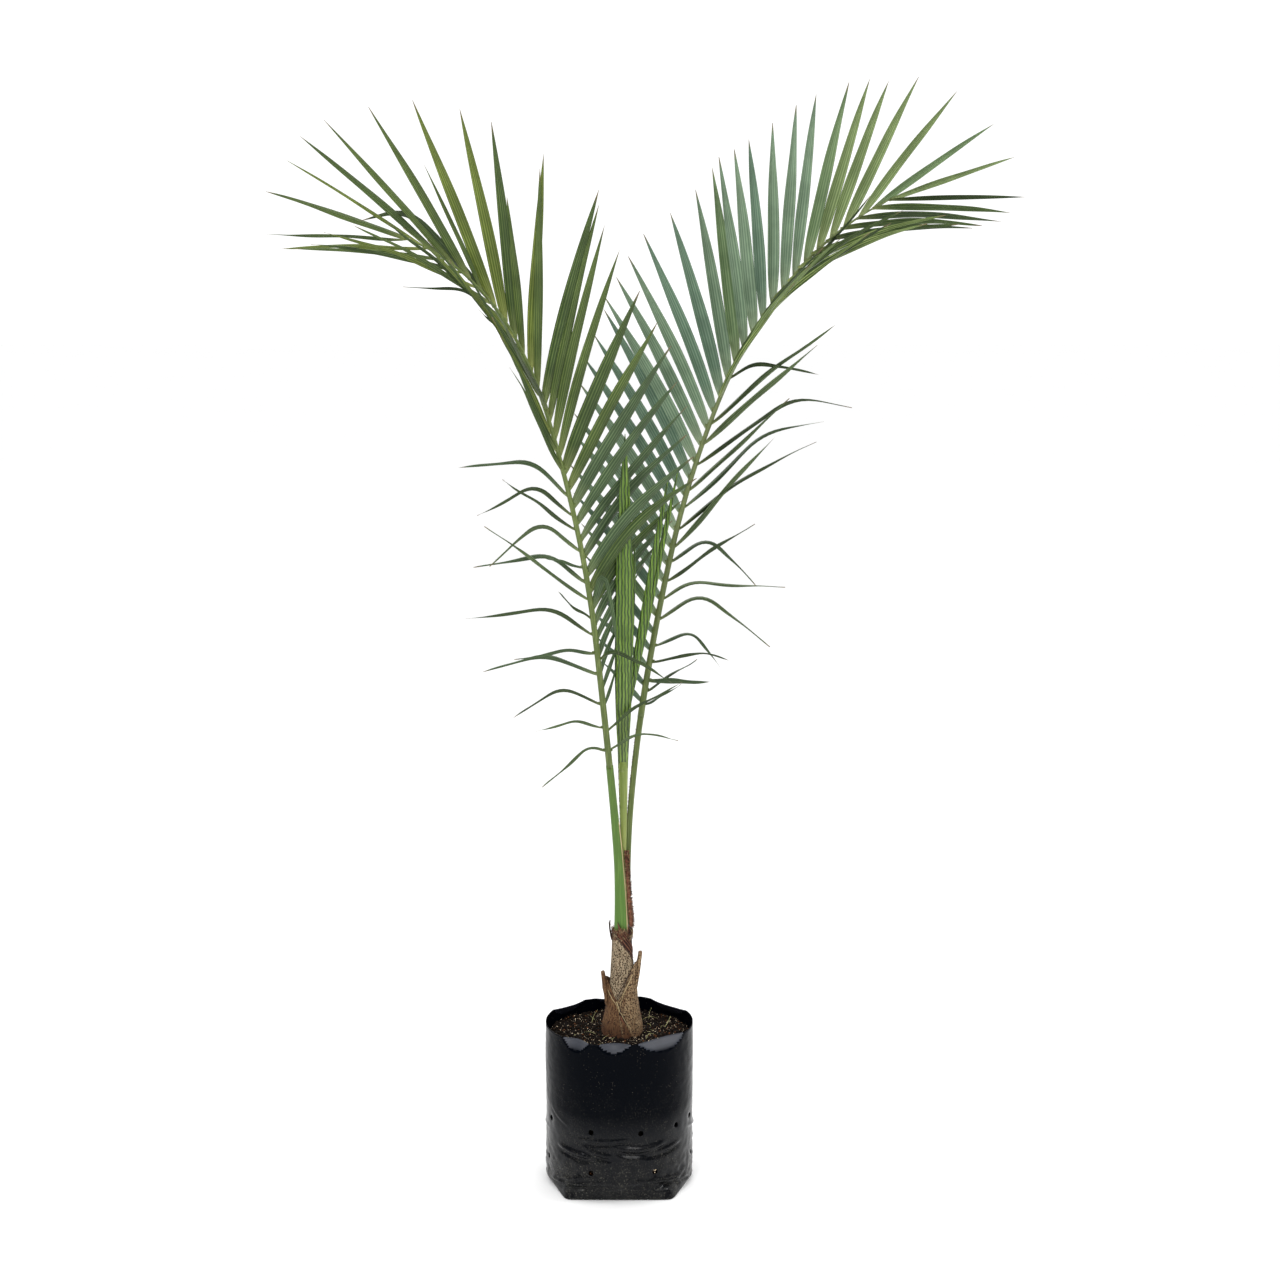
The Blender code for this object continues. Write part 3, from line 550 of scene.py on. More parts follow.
bag = tube(BAG_SIDES, BAG_RINGS)
lids = [face for face in bag.faces if len(face.verts) > 4 and face.calc_center_median().z > 0.5]
bmesh.ops.delete(bag, geom=lids, context="FACES_ONLY")
for vert in bag.verts:
    angle = math.atan2(vert.co.y, vert.co.x)
    height = BAG_HEIGHT * vert.co.z ** RING_CROWDING
    place = film_place_at(angle, height)
    vert.co = place + away(angle) * hole_dish(angle, height)
# Faces where the rim leans in get the rim's finish, whose paler colour is a painted highlight.
for face in bag.faces:
    middle = face.calc_center_median()
    turned = math.degrees(math.atan2(middle.y, middle.x))
    if middle.z > RIM_ZONE and rim_push(turned, middle.z) < -RIM_LEANS:
        face.material_index = 1
bag_piece = piece("bag_film", bag, [film, rim_painted_highlight], ["grow_bag"])

# %% Punches for the holes
PUNCH_LENGTH = 0.012


def punch_form(centre, out):
    """A short rod that passes through the film at a hole."""
    side = Vector((-out.y, out.x, 0.0))

    def form(spot):
        across = side * spot.x + Vector((0.0, 0.0, spot.y))
        return centre + across * HOLE_RADIUS + out * (spot.z - 0.5) * PUNCH_LENGTH
    return form


punches = bmesh.new()
punch_pattern = pattern(tube(16, 2))
for angle, height in holes:
    add_copy(punches, punch_pattern, punch_form(film_place_at(angle, height), away(angle)))
punch_mesh = bpy.data.meshes.new("hole_punches")
punches.to_mesh(punch_mesh)
punches.free()
punch = bpy.data.objects.new("hole_punches", punch_mesh)
bpy.context.scene.collection.objects.link(punch)
print("punches:", len(punch_mesh.polygons), "faces")

# %% Thickness and cut holes
wall = bag_piece.modifiers.new("film", "SOLIDIFY")
wall.thickness = FILM_SHOWN
wall.offset = -1.0
cut = bag_piece.modifiers.new("drain_holes", "BOOLEAN")
cut.operation = "DIFFERENCE"
cut.solver = "MANIFOLD"
cut.object = punch
bpy.context.view_layer.update()
seen = bag_piece.evaluated_get(bpy.context.evaluated_depsgraph_get())
cut_mesh = bpy.data.meshes.new_from_object(seen)
bag_piece.modifiers.clear()
bag_piece.data = cut_mesh
bpy.data.objects.remove(punch)
print("bag after the holes are cut:", len(cut_mesh.polygons), "faces")

# %% [markdown]
# ## Potting mix
# Potting mix is dark, damp and loose: fine peat with crumbs of bark, pale husks and
# a few straws lying on top. A bumpy surface alone looks like mud, so the surface
# carries a few thousand separate crumbs in three colours, made from one small pattern,
# and a handful of straws.

# %% Potting mix finishes
def crumb_finish(name, dark, pale, roughness=0.9):
    made, tree, shader = start_finish(name, roughness, 0.10)
    place = coordinates(tree, "Object")
    tone = mixed(tree, cloud(tree, place, 420.0, 4.0), dark, pale)
    tree.links.new(tone, shader.inputs["Base Color"])
    raise_by(tree, shader, cloud(tree, place, 900.0, 3.0), 0.0006)
    return made


peat = crumb_finish("peat", tint(5, 4, 3), tint(22, 16, 11))
dark_bark = crumb_finish("dark_bark", tint(8, 6, 4), tint(32, 22, 15))
red_bark = crumb_finish("red_bark", tint(56, 34, 20), tint(104, 66, 40))
husk = crumb_finish("pale_husk", tint(190, 160, 122), tint(250, 236, 210), 0.8)
straw = crumb_finish("dry_straw", tint(150, 150, 96), tint(214, 212, 158), 0.7)
mix_finishes = [peat, dark_bark, red_bark, husk, straw]
print(len(mix_finishes), "potting mix finishes")

# %% Potting mix
SOIL_LEVEL = 0.2035
SOIL_INSET = 0.0024
SOIL_SIDES = 120
SOIL_RINGS = 64
WALL_SHARE = 0.22  # share of the rings that line the film
SOIL_SLUMP = 0.005  # lower down the mix has shrunk from the film, so the holes look black
SOIL_SLUMP_TOP = 0.170
STEM_X = 0.0040


def soil_height(x, y):
    """Height of the mix: small lumps, and a low mound round the stem."""
    spot = Vector((x, y, 0.0))
    lumps = noise.fractal(spot * 70.0, 1.0, 2.1, 5) * 0.0024
    far = math.hypot(x - STEM_X, y)
    mound = 0.0020 * math.exp(-((far / 0.045) ** 2))
    return SOIL_LEVEL + lumps + mound - 0.0006


print("soil stands", round(soil_height(0.05, -0.05) * 1000, 1), "mm high")
soil = tube(SOIL_SIDES, SOIL_RINGS)
for vert in soil.verts:
    angle = math.atan2(vert.co.y, vert.co.x)
    share = vert.co.z
    if share < WALL_SHARE:
        height = 0.003 + (SOIL_LEVEL - 0.004) * share / WALL_SHARE
        slump = SOIL_SLUMP * smooth_step((SOIL_SLUMP_TOP - height) / 0.03)
        radius = bag_radius(angle, height) - SOIL_INSET - slump
        vert.co = (radius * math.cos(angle), radius * math.sin(angle), height)
    else:
        inward = (share - WALL_SHARE) / (1.0 - WALL_SHARE)
        radius = (BAG_RADIUS - SOIL_INSET) * (1.0 - 0.94 * inward)
        x, y = radius * math.cos(angle), radius * math.sin(angle)
        vert.co = (x, y, soil_height(x, y))
piece("potting_mix", soil, [peat], ["potting_soil"])

# %% Crumbs
crumb_ball = bmesh.new()
bmesh.ops.create_icosphere(crumb_ball, subdivisions=1, radius=1.0)
crumb_pattern = pattern(crumb_ball)
CRUMBS = (  # finish, how many, least and largest half size
    (1, 2500, 0.0008, 0.0026),
    (2, 360, 0.0006, 0.0018),
    (3, 1700, 0.0003, 0.0008),
)
# Crumbs that show in a drain hole, by the hole's angle in the lower row
HOLE_CRUMBS = {-61: (2, 3, 3), -112: (1, 1, 2)}
IN_EACH_HOLE = 7
draw = random.Random(31)


def add_crumb(bm, place, size, finish):
    turn = Euler([draw.uniform(0.0, math.tau) for _ in range(3)]).to_matrix()
    squash = Vector([draw.uniform(0.55, 1.25) * size for _ in range(3)])

    def form(spot):
        return place + turn @ Vector(a * b for a, b in zip(spot, squash))
    add_copy(bm, crumb_pattern, form, finish)


crumbs = bmesh.new()
for finish, count, least, most in CRUMBS:
    for _ in range(count):
        angle = draw.uniform(0.0, math.tau)
        radius = (BAG_RADIUS - 0.0045) * math.sqrt(draw.uniform(0.03, 1.0))
        x, y = radius * math.cos(angle), radius * math.sin(angle)
        size = least + (most - least) * draw.random() ** 2.2
        add_crumb(crumbs, Vector((x, y, soil_height(x, y) + size * 0.35)), size, finish)
for angle, height in holes:
    lower_row = height == LOWER_HOLES[0]
    kinds = HOLE_CRUMBS.get(round(math.degrees(angle)), ()) if lower_row else ()
    for _ in range(IN_EACH_HOLE if kinds else 0):
        spot = away(angle + draw.uniform(-0.028, 0.028)) * (bag_radius(angle, height) - 0.0022)
        spot.z = height + draw.uniform(-0.0026, 0.0026)
        add_crumb(crumbs, spot, draw.uniform(0.0005, 0.0012), draw.choice(kinds))
print("crumbs:", len(crumbs.faces), "faces")

# %% Straws
straw_pattern = pattern(tube(3, 5))


def bent(root, tip, sag, radius):
    """A tapering strand from root to tip that bends by sag halfway along."""
    along = (tip - root).normalized()
    wide = along.cross(Vector((0.31, 0.22, 0.92))).normalized()
    deep = along.cross(wide)

    def form(spot):
        share = spot.z
        thick = radius * (1.0 - 0.75 * share)
        centre = root.lerp(tip, share) + sag * 4.0 * share * (1.0 - share)
        return centre + wide * spot.x * thick + deep * spot.y * thick
    return form


for _ in range(20):
    angle = draw.uniform(0.0, math.tau)
    radius = 0.088 * math.sqrt(draw.uniform(0.08, 1.0))
    x, y = radius * math.cos(angle), radius * math.sin(angle)
    heading, reach = draw.uniform(0.0, math.tau), draw.uniform(0.006, 0.018)
    end_x, end_y = x + reach * math.cos(heading), y + reach * math.sin(heading)
    if math.hypot(end_x, end_y) > 0.092:
        continue
    root = Vector((x, y, soil_height(x, y) + 0.0008))
    tip = Vector((end_x, end_y, soil_height(end_x, end_y) + draw.uniform(0.0010, 0.0045)))
    lift = Vector((0.0, 0.0, draw.uniform(0.0, 0.003)))
    add_copy(crumbs, straw_pattern, bent(root, tip, lift, draw.uniform(0.00022, 0.00045)), 4)
# Longer straws that stand up from the mix
for root, tip, sag in (
    ((-0.038, 0.036, 0.204), (-0.030, 0.040, 0.222), (-0.0020, 0.0, 0.0)),
    ((0.062, 0.020, 0.204), (0.070, 0.026, 0.218), (0.0010, 0.0, 0.001)),
    ((0.030, 0.045, 0.205), (0.052, 0.038, 0.210), (0.0, 0.0, 0.004)),
    ((0.040, 0.050, 0.205), (0.044, 0.052, 0.221), (-0.001, 0.0, 0.0)),
    ((0.036, -0.030, 0.205), (0.050, -0.020, 0.207), (-0.002, 0.0, 0.005)),
):
    add_copy(crumbs, straw_pattern, bent(Vector(root), Vector(tip), Vector(sag), 0.00055), 4)
piece("potting_crumbs", crumbs, mix_finishes, ["potting_soil"])

# %% [markdown]
# ## Finishes for the old sheaths
# A palm's stem at this age is wrapped in the dry bases of earlier leaves. They are
# grey-tan and freckled with dark scurf, browner towards the soil, and run with fine
# fibres. The freckles are small cells stretched upwards; the fibres are a bump.

# %% Sheath finishes
def sheath_finish(name, pale, dark, freckle, amount, low, high):
    """Freckled dry sheath that darkens towards its foot between two heights."""
    made, tree, shader = start_finish(name, 0.82, 0.25)
    place = coordinates(tree, "Object")
    stretched = coordinates(tree, "Object", (1.0, 1.0, 0.75))
    fibres = cloud(tree, coordinates(tree, "Object", (1.0, 1.0, 0.06)), 620.0, 4.0)
    body = mixed(tree, steps(tree, fibres, (0.35, 0.0), (0.65, 1.0)), pale, dark)
    foot = steps(tree, height_of(tree), (low, 1.0), (high, 0.0))
    body = mixed(tree, foot, body, dark)
    dots = steps(tree, cells(tree, stretched, 580.0), (0.37, 1.0), (0.53, 0.0))
    some = steps(tree, cloud(tree, place, 160.0), (0.72 - 0.7 * amount, 0.0), (0.84 - 0.55 * amount, 1.0))
    freckled = mixed(tree, product(tree, dots, some), body, freckle)
    tree.links.new(freckled, shader.inputs["Base Color"])
    raise_by(tree, shader, fibres, 0.0008, 0.8)
    return made


sheath_grey = sheath_finish(
    "freckled_sheath", tint(170, 153, 126), tint(112, 94, 72), tint(38, 26, 18), 0.95, 0.22, 0.25
)
base_brown = sheath_finish(
    "brown_base", tint(132, 100, 68), tint(76, 47, 30), tint(42, 27, 19), 0.45, 0.203, 0.230
)
base_freckled = sheath_finish(
    "freckled_base", tint(162, 138, 104), tint(104, 78, 54), tint(46, 30, 21), 0.85, 0.205, 0.222
)
dark_sheath = sheath_finish(
    "dark_inner_sheath", tint(78, 55, 43), tint(44, 29, 23), tint(24, 15, 12), 0.7, 0.20, 0.21
)
cut_wood = sheath_finish(
    "cut_stub", tint(132, 108, 84), tint(82, 60, 44), tint(50, 35, 26), 0.2, 0.20, 0.21
)
print("sheath finishes ready")

# %% Strand finishes
def strand_finish(name, dark, pale):
    """Dry fibre, mottled between two tones."""
    made, tree, shader = start_finish(name, 0.75, 0.3)
    tone = mixed(tree, cloud(tree, coordinates(tree, "Object"), 700.0, 2.0), dark, pale)
    tree.links.new(tone, shader.inputs["Base Color"])
    raise_by(tree, shader, cloud(tree, coordinates(tree, "Object", (1.0, 1.0, 0.2)), 900.0), 0.0004)
    return made


red_fibre = strand_finish("red_brown_fibre", tint(84, 44, 30), tint(160, 106, 80))
dark_fibre = strand_finish("dark_fibre", tint(26, 16, 12), tint(62, 40, 30))
tan_edge = strand_finish("tan_margin", tint(150, 128, 88), tint(204, 186, 144))
fibre_finishes = [red_fibre, dark_fibre, tan_edge]
print(len(fibre_finishes), "strand finishes")

# %% [markdown]
# ## Stem
# The stem tapers from a flat cut at the soil to the ragged mouth that the leaf stalks
# come out of. On the real plant a strip of an inner, darker sheath shows at the upper
# right, past a slanting edge. The faces past that edge get the darker finish, and
# their surface lies a touch deeper.

# %% Stem profile
STEM_FOOT = 0.2039
STEM_SUNK = 0.0050  # how far the dressed stem runs on into the loose mix
STEM_PROFILE = (  # height, radius
    (STEM_FOOT, 0.0247),
    (0.2100, 0.0240),
    (0.2300, 0.0218),
    (0.2512, 0.0192),
    (0.2850, 0.0163),
    (0.3132, 0.0147),
    (0.3300, 0.0140),
    (0.3500, 0.0134),
    (0.3520, 0.0112),
)
SLANT = ((-150, 0.3520), (-116, 0.3425), (-72, 0.3271), (0, 0.3042), (30, 0.3000))  # angle, height
MOUTH = 0.3500


def stem_radius(height):
    return between(STEM_PROFILE, height)[1]


def past_slant(degrees, height):
    """How far a place lies above the slanting edge of the outer sheath."""
    return height - between(SLANT, degrees)[1] if -150 < degrees < 40 else -1.0


def mouth_height(angle):
    """Height of the ragged mouth: broad waves with small teeth on them."""
    spot = Vector((math.cos(angle), math.sin(angle), 3.0))
    return MOUTH + noise.noise(spot * 2.2) * 0.0035 + noise.noise(spot * 9.0) * 0.0022


print("stem is", round(stem_radius(STEM_FOOT) * 2000.0, 1), "mm wide at the soil")

# %% Stem
OUTER_SHARE = 0.90  # share of the rings on the outside, the rest being turned in at the mouth
TURNED_IN = 0.80
MOUTH_DEPTH = 0.010
STEM_RIBS = 0.00035
STEM_FINE_RIBS = 0.00016
STRIP_SUNK = 0.0007  # how much deeper the inner sheath's surface lies
MOUTH_INSIDE = 0.0118

stem = tube(96, 96)
bottom = STEM_FOOT - STEM_SUNK
for vert in stem.verts:
    angle = math.atan2(vert.co.y, vert.co.x)
    degrees = math.degrees(angle)
    top = mouth_height(angle)
    climb = min(vert.co.z / OUTER_SHARE, 1.0)
    height = bottom + (top - bottom) * climb
    tuck = max(0.0, (vert.co.z - OUTER_SHARE) / (1.0 - OUTER_SHARE))
    ribs = noise.noise(Vector((angle * 9.0, height * 30.0, 1.0))) * STEM_RIBS
    ribs += noise.noise(Vector((angle * 30.0, height * 60.0, 4.0))) * STEM_FINE_RIBS
    sunk = STRIP_SUNK * smooth_step(past_slant(degrees, height) / 0.0012)
    radius = (stem_radius(height) + ribs - sunk) * (1.0 - TURNED_IN * tuck)
    vert.co = (STEM_X + radius * math.cos(angle), radius * math.sin(angle), height - MOUTH_DEPTH * tuck)
for face in stem.faces:
    centre = face.calc_center_median()
    degrees = math.degrees(math.atan2(centre.y, centre.x - STEM_X))
    inside = math.hypot(centre.x - STEM_X, centre.y) < MOUTH_INSIDE and centre.z > 0.33
    if past_slant(degrees, centre.z) > 0.0 or inside:
        face.material_index = 1
piece("stem_sheath", stem, [sheath_grey, dark_sheath], ["stem"])

# %% [markdown]
# ## Old leaf bases
# Two older bases wrap the foot of the stem, meet in a V in front, and end in the dry
# stubs of their cut stalks. Each is a grid wrapped round the stem and given a wall by
# solidifying it; its margins are rolled a little thicker than the rest. A stub is a
# tube that starts flat against the sheath and bends away from it.

# %% Wrap of an old leaf base
SHEATH_FOOT = 0.0030
SHEATH_RIM = 0.0016
SHEATH_VALLEY = 0.2545
SHEATH_PEAK = {"left": 0.2790, "right": 0.3040}
CREST_LEAN = 0.0042  # how far a sheath's crest leans out with its stub
CREST_LEAN_DEPTH = 0.030
CREST_LEAN_WIDTH = 0.16
NOTCH_ANGLE = -108.0
FOOT_ANGLE = -84.0
FOOT_LAP = {"left": 22.0, "right": -4.0}  # in front the left base laps over the right one
BACK_ANGLE = 90.0
CREST_POWER = 1.4
LEFT_OVER = 0.0009  # how far the left base stands over the right one at the foot
ROLLED_MARGIN = 0.0006
BASE_RIBS = 0.0005
BASE_FINE_RIBS = 0.00022
SWOLLEN, SWOLLEN_AT, SWOLLEN_REACH = 0.0014, 0.216, 0.014


def base_place(side, around, up):
    """A place on an old base: share of the way round from the front, and up."""
    sign = -1 if side == "left" else 1
    crest = max(math.sin(math.pi * around), 0.0) ** CREST_POWER
    fray = noise.noise(Vector((around * 22.0, sign * 3.0, 0.0))) * 0.0012
    top = SHEATH_VALLEY + (SHEATH_PEAK[side] + 0.003 - SHEATH_VALLEY) * crest + fray
    foot = STEM_FOOT - 0.0045
    height = foot + (top - foot) * up
    rise = min(max((height - STEM_FOOT) / (SHEATH_VALLEY - STEM_FOOT), 0.0), 1.0)
    foot_front = FOOT_ANGLE + FOOT_LAP[side]
    front = math.radians(foot_front + (NOTCH_ANGLE - foot_front) * rise)
    end = math.radians(BACK_ANGLE)
    if sign < 0:
        end -= math.tau
    angle = front + (end - front) * around
    thick = SHEATH_FOOT + (SHEATH_RIM - SHEATH_FOOT) * up
    over = LEFT_OVER if side == "left" else 0.0
    lap = over * math.exp(-around * 14.0) * (1.0 - rise)
    margin = math.exp(-((min(around, 1.0 - around) / 0.016) ** 2)) + math.exp(-(((1.0 - up) / 0.02) ** 2))
    ribs = noise.noise(Vector((angle * 14.0, height * 22.0, sign * 2.0))) * BASE_RIBS
    ribs += noise.noise(Vector((angle * 46.0, height * 40.0, sign * 5.0))) * BASE_FINE_RIBS
    swollen = SWOLLEN * math.exp(-(((height - SWOLLEN_AT) / SWOLLEN_REACH) ** 2))
    up_crest = smooth_step((height - SHEATH_PEAK[side] + CREST_LEAN_DEPTH) / CREST_LEAN_DEPTH)
    swollen += CREST_LEAN * up_crest * math.exp(-(((around - 0.5) / CREST_LEAN_WIDTH) ** 2))
    radius = stem_radius(height) + thick + lap + ROLLED_MARGIN * margin + ribs + swollen
    return Vector((STEM_X + radius * math.cos(angle), radius * math.sin(angle), height))


print("left base begins at", [round(value, 4) for value in base_place("left", 0.0, 0.0)])

# %% Stub of a cut stalk
STUB_TIP = {"left": (-0.0225, -0.0040, 0.2915), "right": (0.0285, -0.0010, 0.3185)}
STUB_ROOT_DROP = 0.0100
STUB_ROOT_OUT = 0.0052
STUB_ROOT_Y = -0.0010
STUB_FLARE = 0.0350  # below the peak, where a stub begins to swell out of the sheath
STUB_SIZES = ((0.0, 0.0100, 0.0015), (0.5, 0.0050, 0.0034), (1.0, 0.0032, 0.0027))
STUB_ROUGH = 0.16
STUB_RAGGED = 0.0022


def stub_line(side):
    """Where a stub swells out of its sheath, where it bends away, and its tip."""
    sign = -1 if side == "left" else 1
    bend_height = SHEATH_PEAK[side] - STUB_ROOT_DROP
    bend = Vector((STEM_X + sign * (stem_radius(bend_height) + STUB_ROOT_OUT), STUB_ROOT_Y, bend_height))
    low_height = SHEATH_PEAK[side] - STUB_FLARE
    low = Vector((STEM_X + sign * (stem_radius(low_height) + SHEATH_RIM), STUB_ROOT_Y, low_height))
    return low, bend, Vector(STUB_TIP[side])


def stub_form(side):
    """A stub hugs the sheath at first, and then bends away to a ragged cut."""
    sign = -1 if side == "left" else 1
    low, bend, tip = stub_line(side)

    def form(spot):
        share = spot.z
        centre = low.lerp(bend, share).lerp(bend.lerp(tip, share), share)
        along = (bend - low).lerp(tip - bend, share).normalized()
        deep = along.cross(Vector((0.0, 1.0, 0.0))).normalized()
        rough = 1.0 + STUB_ROUGH * noise.noise(Vector((spot.x * 3.0, spot.y * 3.0, share * 5.0)))
        _, half_wide, half_deep = between(STUB_SIZES, share)
        across = spot.x * half_wide * rough
        round_radius = stem_radius(centre.z) + SHEATH_RIM
        hug = (round_radius - math.sqrt(round_radius ** 2 - across ** 2)) * (1.0 - share)
        torn = noise.noise(Vector((spot.x * 4.0, spot.y * 4.0, 7.0))) * smooth_step(share * 6.0 - 5.0)
        ragged = along * STUB_RAGGED * torn
        return centre + Vector((-sign * hug, across, 0.0)) + deep * spot.y * half_deep * rough + ragged
    return form


print("left stub bends at", [round(value, 4) for value in stub_line("left")[1]])

# %% Old leaf bases
BASE_WALL = 0.0011
CUT_DEPTH = 0.0016  # how far down from its tip a stub shows cut wood
stub_pattern = pattern(tube(18, 24))


def make_old_base(side, finish):
    bm = blade(84, 56)
    for vert in bm.verts:
        vert.co = base_place(side, vert.co.x + 0.5, vert.co.y + 0.5)
    bmesh.ops.recalc_face_normals(bm, faces=bm.faces)
    outer = max(bm.faces, key=lambda face: abs(face.calc_center_median().x - STEM_X))
    if outer.normal.x * (outer.calc_center_median().x - STEM_X) < 0.0:
        bmesh.ops.reverse_faces(bm, faces=bm.faces)
    bmesh.ops.solidify(bm, geom=list(bm.faces), thickness=BASE_WALL)
    first = len(bm.faces)
    add_copy(bm, stub_pattern, stub_form(side))
    bm.faces.ensure_lookup_table()
    _, bend, tip = stub_line(side)
    for face in bm.faces[first:]:
        if (tip - face.calc_center_median()).dot((tip - bend).normalized()) < CUT_DEPTH:
            face.material_index = 1
    nodes = [f"leaf_base_{side}"]
    return piece(f"old_leaf_base_{side}", bm, [finish, cut_wood], nodes, outward=False)


make_old_base("left", base_brown)
make_old_base("right", base_freckled)

# %% [markdown]
# ## Strands, frayed mouth and the fibre strip
# What ties this stem together to the eye is its loose fibre: dark cords along the
# edges of the sheaths, a frayed red-brown collar where the stalks come out, and a
# hairy strip that climbs the right margin of the left stalk. Some of the dark cords are
# also painted shade, in the gap and along the lap between the two old bases. A cord is
# a five-sided tube laid along the surface, and a hair is a three-sided one that stands
# out of it.

# %% Cords that lie on the stem
cord_pattern = pattern(tube(5, 22))


def on_stem(degrees, height, lift):
    """A place on the stem's surface, or lifted off it."""
    angle = math.radians(degrees)
    radius = stem_radius(height) + lift
    return Vector((STEM_X + radius * math.cos(angle), radius * math.sin(angle), height))


def surface_cord(bm, stops, lift, radius, finish):
    """A cord that lies on the stem, through stops of angle and height."""
    marks = [(k / (len(stops) - 1), *stop) for k, stop in enumerate(stops)]

    def form(spot):
        share = spot.z
        _, degrees, height = between(marks, share)
        ahead = between(marks, min(share + 0.02, 1.0))
        behind = between(marks, max(share - 0.02, 0.0))
        along = (on_stem(ahead[1], ahead[2], lift) - on_stem(behind[1], behind[2], lift)).normalized()
        out = away(math.radians(degrees))
        side = along.cross(out).normalized()
        wobble = noise.noise(Vector((share * 9.0, radius * 9000.0, lift * 5000.0)))
        thick = radius * (1.0 - 0.5 * share) * (1.0 + 0.35 * wobble)
        centre = on_stem(degrees, height, lift) + side * wobble * radius
        return centre + side * spot.x * thick + out * spot.y * thick * 0.8
    add_copy(bm, cord_pattern, form, finish)


print("a cord starts with", len(cord_pattern.polygons), "faces")

# %% Strands on the sheaths
SLANT_CORDS = 12
EDGE_CORDS = (  # stops of angle and height, lift, radius, finish
    # Cords laid in the gap between the two bases at the soil: painted shade that fills the gap
    (((-100, 0.2440), (-84, 0.2270), (-68, 0.2130), (-62, 0.2060)), 0.0030, 0.00170, 1),
    (((-96, 0.2360), (-76, 0.2180), (-64, 0.2060)), 0.0034, 0.00110, 0),
    # Margins of the right base, and the left base's edge that laps over it; its dark cords also paint shade
    # along the lap
    (((-8, 0.3040), (-68, 0.2868), (-100, 0.2668), (-110, 0.2545)), 0.0022, 0.00090, 1),
    (((2, 0.3020), (-52, 0.2850), (-84, 0.2664), (-98, 0.2498)), 0.0024, 0.00062, 2),
    (((-178, 0.2700), (-138, 0.2600), (-116, 0.2520), (-104, 0.2440)), 0.0024, 0.00062, 2),
    (((-176, 0.2725), (-137, 0.2625), (-114, 0.2545), (-104, 0.2470)), 0.0016, 0.00085, 1),
    (((-109, 0.2545), (-98, 0.2420), (-82, 0.2290), (-62, 0.2150)), 0.0038, 0.00072, 2),
    (((-106, 0.2530), (-94, 0.2400), (-78, 0.2270), (-58, 0.2140)), 0.0034, 0.00085, 1),
)

draw = random.Random(52)
strands = bmesh.new()
# Along the slanting edge of the outer sheath, and above it on the inner one
for k in range(SLANT_CORDS):
    rise = 0.0019 * k - 0.0030
    stops = [
        (degrees + draw.uniform(-4.0, 4.0), height + rise + draw.uniform(-0.0008, 0.0008))
        for degrees, height in ((-118, 0.3440), (-72, 0.3278), (-8, 0.3060))
    ]
    surface_cord(strands, stops, 0.0003, draw.uniform(0.00030, 0.00060), (1, 0, 1, 0, 0, 1)[k % 6])
for stops, lift, radius, finish in EDGE_CORDS:
    surface_cord(strands, stops, lift, radius, finish)
piece("sheath_strands", strands, fibre_finishes, ["stem"])

# %% Frayed mouth
MOUTH_HAIRS = 800
MOSTLY_DARK = (0, 0, 1, 1, 1, 2)  # strand finishes to draw from
hair_pattern = pattern(tube(3, 4))


def add_hair(bm, root, tip, sag, radius, finish):
    add_copy(bm, hair_pattern, bent(root, tip, sag, radius), finish)


frayed = bmesh.new()
for _ in range(MOUTH_HAIRS):
    degrees = draw.uniform(-180.0, 180.0)
    angle = math.radians(degrees)
    top = mouth_height(angle)
    root = on_stem(degrees, top - draw.uniform(0.0, 0.014), draw.uniform(-0.0006, 0.0006))
    sideways = away(angle + math.pi / 2.0) * draw.uniform(-0.009, 0.009)
    inward = away(angle) * draw.uniform(-0.0042, 0.0008)
    tip = root + sideways + inward + Vector((0.0, 0.0, draw.uniform(0.001, 0.0075)))
    sag = away(angle) * draw.uniform(0.0, 0.0008)
    add_hair(frayed, root, tip, sag, draw.uniform(0.00018, 0.00044), draw.choice(MOSTLY_DARK))
# The dark splinter that stands up at the left of the mouth, and the fluff at its tip
for lean in (0.0, 0.0008, -0.0006):
    root = Vector((-0.0095, -0.0040, 0.3360))
    tip = Vector((-0.0132 + lean, -0.0045, 0.3630 - abs(lean) * 4.0))
    add_hair(frayed, root, tip, Vector((-0.0008, 0.0, 0.0)), 0.0015, 1)
for _ in range(40):
    root = Vector((-0.0122, -0.0045, draw.uniform(0.350, 0.362)))
    reach = (draw.uniform(-0.003, 0.002), draw.uniform(-0.001, 0.001), draw.uniform(0.0005, 0.004))
    add_hair(frayed, root, root + Vector(reach), Vector(), 0.00018, 1)
piece("frayed_mouth", frayed, fibre_finishes, ["stem"])

# %% [markdown]
# ## The rule of the two fronds
# Each rib leans out by an angle that grows along its length, slowly at first and then
# faster, which is how a long soft leaf arches under its own weight. The angle is given
# at a few places and read in straight lines between them. The leaflets follow a table
# of stops along the rib: the angle at which they leave it, how far they roll out of
# the leaf's plane, and their length, width, droop and twist.

# %% Rib curves
STALK_TOP = 0.225  # where the stalk ends and the rib begins
RIB_STEPS = 200
DEPTH_POWER = 1.5
FRONDS = {
    "left": dict(
        side=-1, foot=(0.0025, -0.0040, 0.3580), length=0.984,
        lean=(
            (0.00, 0.3), (0.12, 5.0), (0.40, 6.2), (0.55, 11.6),
            (0.70, 16.0), (0.80, 25.3), (0.90, 44.4), (1.00, 67.3),
        ),
        depth=-0.100, below=0.0044, seed=4,
    ),
    "right": dict(
        side=1, foot=(0.0106, 0.0095, 0.4134), length=1.011,
        lean=((0.00, 1.0), (0.12, 5.1), (0.25, 9.0), (0.45, 13.0), (0.65, 22.7), (0.85, 41.6), (1.00, 64.3)),
        depth=0.140, below=0.0600, seed=9,
    ),
}


